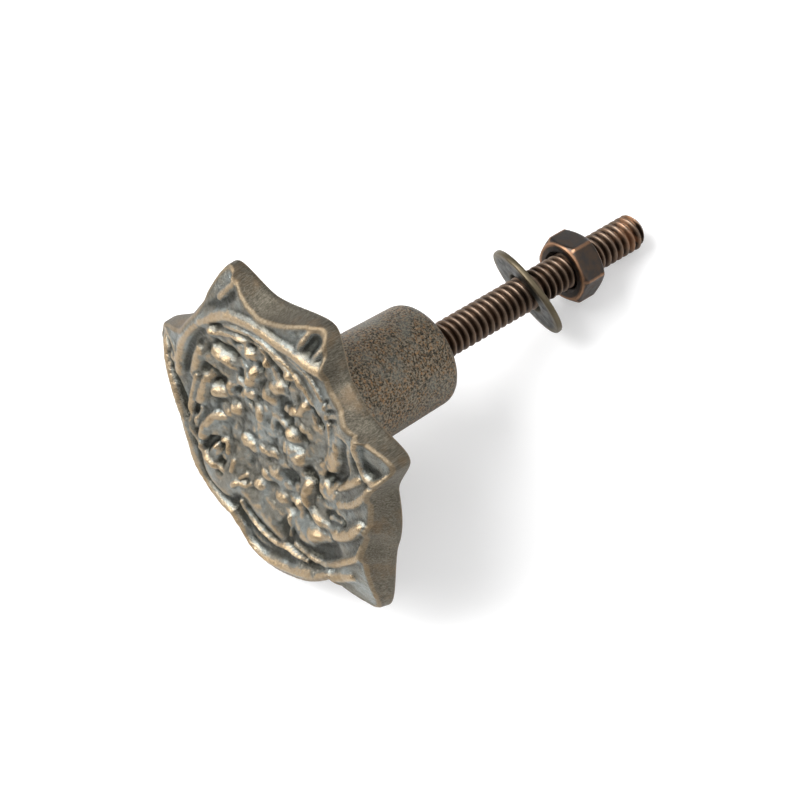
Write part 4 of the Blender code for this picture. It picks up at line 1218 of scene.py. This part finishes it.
    def build(self) -> bpy.types.Object:
        """Makes the casting.

        Returns:
            The dressed piece.
        """
        front, ridge, hollow = self.front()
        faces, rim = self.front_faces()
        angles = np.arctan2(front[rim, 2], front[rim, 0])
        rings = self.head_rings(angles, front[rim, 1])
        rings += [Ring(radius, depth) for radius, depth in self.stem_profile()]
        sides, wear = ring_points(rings, angles)
        numbers = [rim] + numbered(len(rings), len(rim), len(front))
        faces += ring_faces(numbers) + [tuple(numbers[-1])]
        wall = np.concatenate([np.zeros(len(front)), np.ones(len(sides))])
        wall[rim] = self.rim_wall
        kept = {
            "ridge": np.concatenate([ridge, wear]),
            "hollow": np.concatenate([hollow, np.zeros(len(sides))]),
            "wall": wall,
        }
        points = np.concatenate([front, sides])
        piece = add_piece("carved_casting", points, faces, self.finish.material(), kept, self.sharp_deg)
        return dressed(piece, Body.KNOB, Node.CASTING)


@dataclass
class ThreadedStud:
    """Screwed rod with a true helical thread and a chamfered end."""

    finish: CopperedSteel = field(default_factory=CopperedSteel)
    crest_radius: float = 2.35
    thread_depth: float = 0.6
    crest_share: float = 0.16
    root_share: float = 0.12
    flank_round: float = 0.35
    start: float = -11.5
    end: float = 36.1
    chamfer: float = 0.7
    chamfer_wear: float = 0.8
    sides: int = 56
    steps_per_turn: int = 14
    sharp_deg: float = 70.0

    def thread(self, phase: np.ndarray) -> np.ndarray:
        """Shapes the thread.

        Args:
            phase: Turns of the thread, whose whole numbers are crests.

        Returns:
            How high the thread stands, from 0 in its root to 1 at its crest.
        """
        off = np.abs((phase + 0.5) % 1.0 - 0.5) * 2.0
        flank = (1.0 - self.root_share - off) / (1.0 - self.root_share - self.crest_share)
        return smooth(flank) * self.flank_round + np.clip(flank, 0.0, 1.0) * (1.0 - self.flank_round)

    def build(self) -> bpy.types.Object:
        """Makes the stud.

        Returns:
            The dressed piece.
        """
        count = int((self.end - self.start) / THREAD_PITCH * self.steps_per_turn)
        around = np.linspace(0.0, FULL_TURN, self.sides, endpoint=False)
        rings = []
        for depth in np.linspace(self.start, self.end, count + 1):
            stand = self.thread(depth / THREAD_PITCH + around / FULL_TURN)
            radius = self.crest_radius - self.thread_depth * (1.0 - stand)
            limit = self.crest_radius - max(0.0, self.chamfer - (self.end - depth))
            wear = np.where(radius < limit, stand, self.chamfer_wear)
            rings.append(Ring(np.minimum(radius, limit), depth, wear))
        points, wear = ring_points(rings, around)
        numbers = numbered(len(rings), self.sides)
        faces = ring_faces(numbers[::-1]) + [tuple(numbers[0]), tuple(reversed(numbers[-1]))]
        kept = {"crest": wear}
        piece = add_piece("screwed_stud", points, faces, self.finish.material(), kept, self.sharp_deg)
        return dressed(piece, Body.KNOB, Node.STUD)


@dataclass
class PlainWasher:
    """Flat washer with rounded edges, leaning as it hangs on the stud."""

    # The washer's colours are its dark plating, made darker still as painted shade.
    finish: DullPlate = DullPlate(
        "washer_plate_painted_shade", (0.032, 0.032, 0.026), (0.018, 0.018, 0.014), (0.13, 0.107, 0.07), 0.46)
    outer_radius: float = 6.35
    hole_radius: float = 2.9
    thickness: float = 0.8
    edge_round: float = 0.25
    place: float = 17.3
    lean_deg: float = 24.4
    sides: int = 128
    arc_steps: int = 4
    outer_wear: float = 1.0
    hole_wear: float = 0.6
    sharp_deg: float = 50.0

    def rings(self) -> list[Ring]:
        """Works out the washer's rings, from its upper face round its outside, lower face and hole.

        Returns:
            The rings of a washer that lies flat at 0.
        """
        outer, inner = self.outer_radius - self.edge_round, self.hole_radius + self.edge_round
        half = self.thickness / 2.0 - self.edge_round
        middle = (outer + inner) / 2.0
        bends = [
            (outer, half, 90.0, self.outer_wear),
            (outer, -half, 0.0, self.outer_wear),
            (inner, -half, -90.0, self.hole_wear),
            (inner, half, 180.0, self.hole_wear),
        ]
        edges = []
        for radius, height, start_deg, wear in bends:
            corner = arc((radius, height), self.edge_round, start_deg, start_deg - 90.0, self.arc_steps)
            edges.append([Ring(r, h, wear) for r, h in corner])
        lower, upper = Ring(middle, -self.thickness / 2.0), Ring(middle, self.thickness / 2.0)
        return edges[0] + edges[1] + [lower] + edges[2] + edges[3] + [upper]

    def build(self) -> bpy.types.Object:
        """Makes the washer.

        Returns:
            The dressed piece.
        """
        around = np.linspace(0.0, FULL_TURN, self.sides, endpoint=False)
        rings = self.rings()
        points, wear = ring_points(rings, around)
        lean = np.array(Matrix.Rotation(math.radians(self.lean_deg), 3, "X"))
        points = points @ lean.T + np.array([0.0, self.place, 0.0])
        numbers = numbered(len(rings), self.sides)
        faces = ring_faces((numbers + numbers[:1])[::-1])
        kept = {"edge": wear}
        piece = add_piece("plain_washer", points, faces, self.finish.material(), kept, self.sharp_deg)
        return dressed(piece, Body.WASHER, Node.WASHER)


@dataclass
class HexNut:
    """Hexagon nut, lofted as rings that follow its flats, its corner chamfers and its threaded hole."""

    finish: DullPlate = DullPlate(
        "nut_plate", (0.052, 0.046, 0.043), (0.08, 0.057, 0.043), (0.32, 0.18, 0.105), 0.4)
    across_flats: float = 7.94
    thickness: float = 3.7
    place: float = 24.95
    corner_deg: float = 29.1
    corner_step_deg: float = 60.0
    corner_cut: float = 0.05
    chamfer_depth: float = 0.5
    chamfer_slope: float = 0.62
    edge_soften: float = 0.12
    hole_radius: float = 2.42
    thread_depth: float = 0.3
    thread_inset: float = 0.3
    countersink: float = 0.45
    layers: int = 44
    ring_insets: tuple[float, ...] = (0.0, 0.08, 0.2, 0.35, 0.55, 0.8, 1.2)
    face_width: float = 0.25
    face_wear: float = 0.1
    mouth_wear: float = 0.5
    corner_wear_from: float = 0.8
    corner_wear_rate: float = 4.0
    end_wear_reach: float = 0.45
    sides: int = 144
    sharp_deg: float = 28.0

    def outside(self, around: np.ndarray, from_end: float) -> np.ndarray:
        """Shapes the nut's outside.

        Args:
            around: Angles in radians from +X towards +Z.
            from_end: How far the ring is from the nearer end.

        Returns:
            The radius at each angle, on a flat or on the cone of the corner chamfer.
        """
        step = self.corner_step_deg
        off = (np.degrees(around) - self.corner_deg) % step - step / 2.0
        flat = self.across_flats / 2.0 / np.cos(np.radians(off))
        corner = self.across_flats / 2.0 / math.cos(math.radians(step / 2.0))
        cone = corner - self.chamfer_depth / self.chamfer_slope + from_end / self.chamfer_slope
        blend = np.logaddexp(-flat / self.edge_soften, -cone / self.edge_soften) * -self.edge_soften
        return np.minimum(blend, corner - self.corner_cut)

    def outer_ring(self, around: np.ndarray, depth: float) -> Ring:
        """Shapes one ring of the outside, rubbed at its corners and near its ends.

        Args:
            around: Angles in radians from +X towards +Z.
            depth: The ring's place from the nut's middle.

        Returns:
            The ring.
        """
        from_end = self.thickness / 2.0 - abs(depth)
        off = (np.degrees(around) - self.corner_deg) % self.corner_step_deg
        corner = np.cos(np.radians(off * 360.0 / self.corner_step_deg))
        rubbed = (corner - self.corner_wear_from) * self.corner_wear_rate
        worn = np.maximum(rubbed, max(0.0, 1.0 - from_end / self.end_wear_reach))
        return Ring(self.outside(around, from_end), depth + self.place, np.clip(worn, 0.0, 1.0))

    def hole_ring(self, around: np.ndarray, depth: float) -> Ring:
        """Shapes one ring of the threaded hole.

        Args:
            around: Angles in radians from +X towards +Z.
            depth: The ring's place from the nut's middle.

        Returns:
            The ring, on the thread or on the countersink at the hole's mouth.
        """
        phase = (depth + self.place) / THREAD_PITCH + around / FULL_TURN
        groove = np.abs((phase + 0.5) % 1.0 - 0.5) * 2.0
        near_mouth = max(0.0, self.countersink - (self.thickness / 2.0 - abs(depth)))
        radius = np.maximum(self.hole_radius + self.thread_depth * groove, self.hole_radius + near_mouth)
        return Ring(radius, depth + self.place)

    def build(self) -> bpy.types.Object:
        """Makes the nut.

        Returns:
            The dressed piece.
        """
        around = np.linspace(0.0, FULL_TURN, self.sides, endpoint=False)
        half = self.thickness / 2.0
        depths = [half - inset for inset in self.ring_insets]
        depths += [-depth for depth in reversed(depths)]
        mouth = self.hole_radius + self.countersink
        lower, upper = self.place - half, self.place + half
        rings = [self.outer_ring(around, depth) for depth in depths]
        rings += [Ring(mouth + self.face_width, lower, self.face_wear), Ring(mouth, lower, self.mouth_wear)]
        threaded = np.linspace(-half + self.thread_inset, half - self.thread_inset, self.layers)
        rings += [self.hole_ring(around, depth) for depth in threaded]
        rings += [Ring(mouth, upper, self.mouth_wear), Ring(mouth + self.face_width, upper, self.face_wear)]
        points, wear = ring_points(rings, around)
        numbers = numbered(len(rings), self.sides)
        faces = ring_faces((numbers + numbers[:1])[::-1])
        kept = {"edge": wear}
        piece = add_piece("screwed_nut", points, faces, self.finish.material(), kept, self.sharp_deg)
        return dressed(piece, Body.NUT, Node.NUT)


@dataclass(frozen=True)
class Lamp:
    """A soft square lamp: its way in the camera's right, up and ahead, its power in watts and its side."""

    name: str
    way: Triple
    power: float
    side: float


@dataclass
class Studio:
    """Pale floor, soft lights and the camera, with all their sizes in metres but the floor's fade."""

    camera_place: Triple = (0.128624, -0.223285, 0.337080)
    camera_right: Triple = (0.62866, 0.73939, 0.24100)
    camera_ahead: Triple = (-0.29760, 0.51504, -0.80385)
    lens: float = 157.5
    sensor: float = 36.0
    nearest: float = 0.01
    floor_half_size: float = 0.6
    floor_fade_mm: Point = (150.0, 400.0)
    floor_colour: Colour = (0.80, 0.80, 0.80)
    floor_rough: float = 0.9
    floor_lift: float = 0.26
    up_guess: Point = (-0.310, 0.951)
    tips_below: float = -0.01
    lamp_aim: Triple = (0.0, -0.005, 0.0)
    lamp_distance: float = 0.5
    lamps: tuple[Lamp, ...] = (
        Lamp("key", (-0.75, 0.42, -0.75), 4.2, 0.38),
        Lamp("fill", (0.8, 0.1, -0.7), 0.7, 0.57),
    )
    sky_low: Colour = (0.10, 0.10, 0.10)
    sky_high: Colour = (0.77, 0.77, 0.775)
    sky_full: float = 0.9
    white: Colour = (1.0, 1.0, 1.0)

    def camera(self) -> None:
        """Sets the camera at the photograph's viewing angle."""
        ahead = Vector(self.camera_ahead).normalized()
        right = (Vector(self.camera_right) - ahead * Vector(self.camera_right).dot(ahead)).normalized()
        turn = Matrix((right, right.cross(ahead), -ahead)).transposed()
        data = bpy.data.cameras.new("camera")
        data.sensor_width = self.sensor
        data.lens = self.lens
        data.clip_start = self.nearest
        camera = add_object("camera", data)
        camera.matrix_world = Matrix.Translation(self.camera_place) @ turn.to_4x4()
        bpy.context.scene.camera = camera

    def floor_place(self, casting: bpy.types.Object, stud: bpy.types.Object) -> Matrix:
        """Works out the floor that the stud's end and the rosette's lowest tip both touch.

        Args:
            casting: The dressed casting.
            stud: The dressed stud.

        Returns:
            The floor's place, with its Z axis up from it.
        """
        along, up = self.up_guess
        touch = min((v.co for v in stud.data.vertices), key=lambda place: place.y * along + place.z * up)
        low = [v.co for v in casting.data.vertices if v.co.z < self.tips_below]
        tilt = max(math.atan2(touch.z - place.z, touch.y - place.y) for place in low)
        return Matrix.Translation((0.0, touch.y, touch.z)) @ Matrix.Rotation(tilt, 4, "X")

    def floor(self, place: Matrix) -> None:
        """Lays the floor under the pieces.

        Args:
            place: The floor's place.
        """
        half = self.floor_half_size
        corners = [(-half, -half, 0.0), (half, -half, 0.0), (half, half, 0.0), (-half, half, 0.0)]
        mesh = bpy.data.meshes.new("floor")
        mesh.from_pydata(corners, [], [(0, 1, 2, 3)])
        mesh.materials.append(self.floor_material())
        floor = add_object("floor", mesh)
        floor.matrix_world = place

    def floor_material(self) -> bpy.types.Material:
        """Makes a white floor that keeps shadows, fades out far away, and can't be seen from below.

        Returns:
            The material.
        """
        paint = Shader("white_ground")
        seen = paint.add("ShaderNodeLightPath").outputs["Is Camera Ray"]
        glow = paint.add("ShaderNodeEmission")
        paint.feed(glow, {"Strength": paint.math("MULTIPLY", seen, self.floor_lift)})
        ground = {"Base Color": self.floor_colour, "Roughness": self.floor_rough, "Specular IOR Level": 0.0}
        paint.feed(paint.surface, ground)
        lit = paint.add("ShaderNodeAddShader")
        paint.feed(lit, {0: paint.surface.outputs[0], 1: glow.outputs[0]})
        reach = paint.add("ShaderNodeVectorMath", operation="LENGTH")
        paint.feed(reach, {0: paint.place})
        faded = paint.band(reach.outputs["Value"], *self.floor_fade_mm)
        below = paint.add("ShaderNodeNewGeometry").outputs["Backfacing"]
        clear = paint.add("ShaderNodeBsdfTransparent").outputs[0]
        sided = paint.add("ShaderNodeMixShader")
        paint.feed(sided, {0: paint.math("MAXIMUM", below, faded), 1: lit.outputs[0], 2: clear})
        paint.feed(paint.tree.nodes["Material Output"], {"Surface": sided.outputs[0]})
        return paint.material

    def light(self, lamp: Lamp) -> None:
        """Adds a lamp that points at the knob.

        Args:
            lamp: The lamp.
        """
        right, ahead = Vector(self.camera_right), Vector(self.camera_ahead)
        way = right * lamp.way[0] + right.cross(ahead) * lamp.way[1] + ahead * lamp.way[2]
        data = bpy.data.lights.new(lamp.name, "AREA")
        data.energy = lamp.power
        data.size = lamp.side
        made = add_object(lamp.name, data)
        made.location = Vector(self.lamp_aim) + way.normalized() * self.lamp_distance
        made.rotation_euler = (-way).to_track_quat("-Z", "Y").to_euler()

    def sky(self, up: Vector) -> None:
        """Sets a soft sky that brightens upwards from the floor, and is white to the camera.

        Args:
            up: The way up from the floor.
        """
        world = bpy.data.worlds.new("studio")
        bpy.context.scene.world = world
        world.use_nodes = True
        paint = Nodes(world.node_tree)
        height = paint.add("ShaderNodeVectorMath", operation="DOT_PRODUCT")
        paint.feed(height, {0: paint.add("ShaderNodeTexCoord").outputs["Generated"], 1: up})
        ramp = paint.add("ShaderNodeValToRGB")
        stops = ((0.0, self.sky_low), (self.sky_full, self.sky_high))
        for element, (position, colour) in zip(ramp.color_ramp.elements, stops):
            element.position = position
            element.color = (*colour, 1.0)
        paint.feed(ramp, {0: height.outputs["Value"]})
        seen = paint.add("ShaderNodeLightPath").outputs["Is Camera Ray"]
        colour = paint.blend(seen, ramp.outputs[0], self.white)
        paint.feed(paint.tree.nodes["Background"], {"Color": colour})

    def build(self, casting: bpy.types.Object, stud: bpy.types.Object) -> None:
        """Sets up everything round the pieces.

        Args:
            casting: The dressed casting.
            stud: The dressed stud.
        """
        bpy.context.scene.view_settings.view_transform = "Standard"
        self.camera()
        for lamp in self.lamps:
            self.light(lamp)
        place = self.floor_place(casting, stud)
        self.floor(place)
        self.sky(place.to_3x3() @ Vector((0.0, 0.0, 1.0)))


def main() -> None:
    """Builds the pieces, then the studio round them."""
    logging.basicConfig(level=logging.INFO, format="%(message)s")
    casting = KnobCasting().build()
    stud = ThreadedStud().build()
    PlainWasher().build()
    HexNut().build()
    Studio().build(casting, stud)


if __name__ == "__main__":
    main()
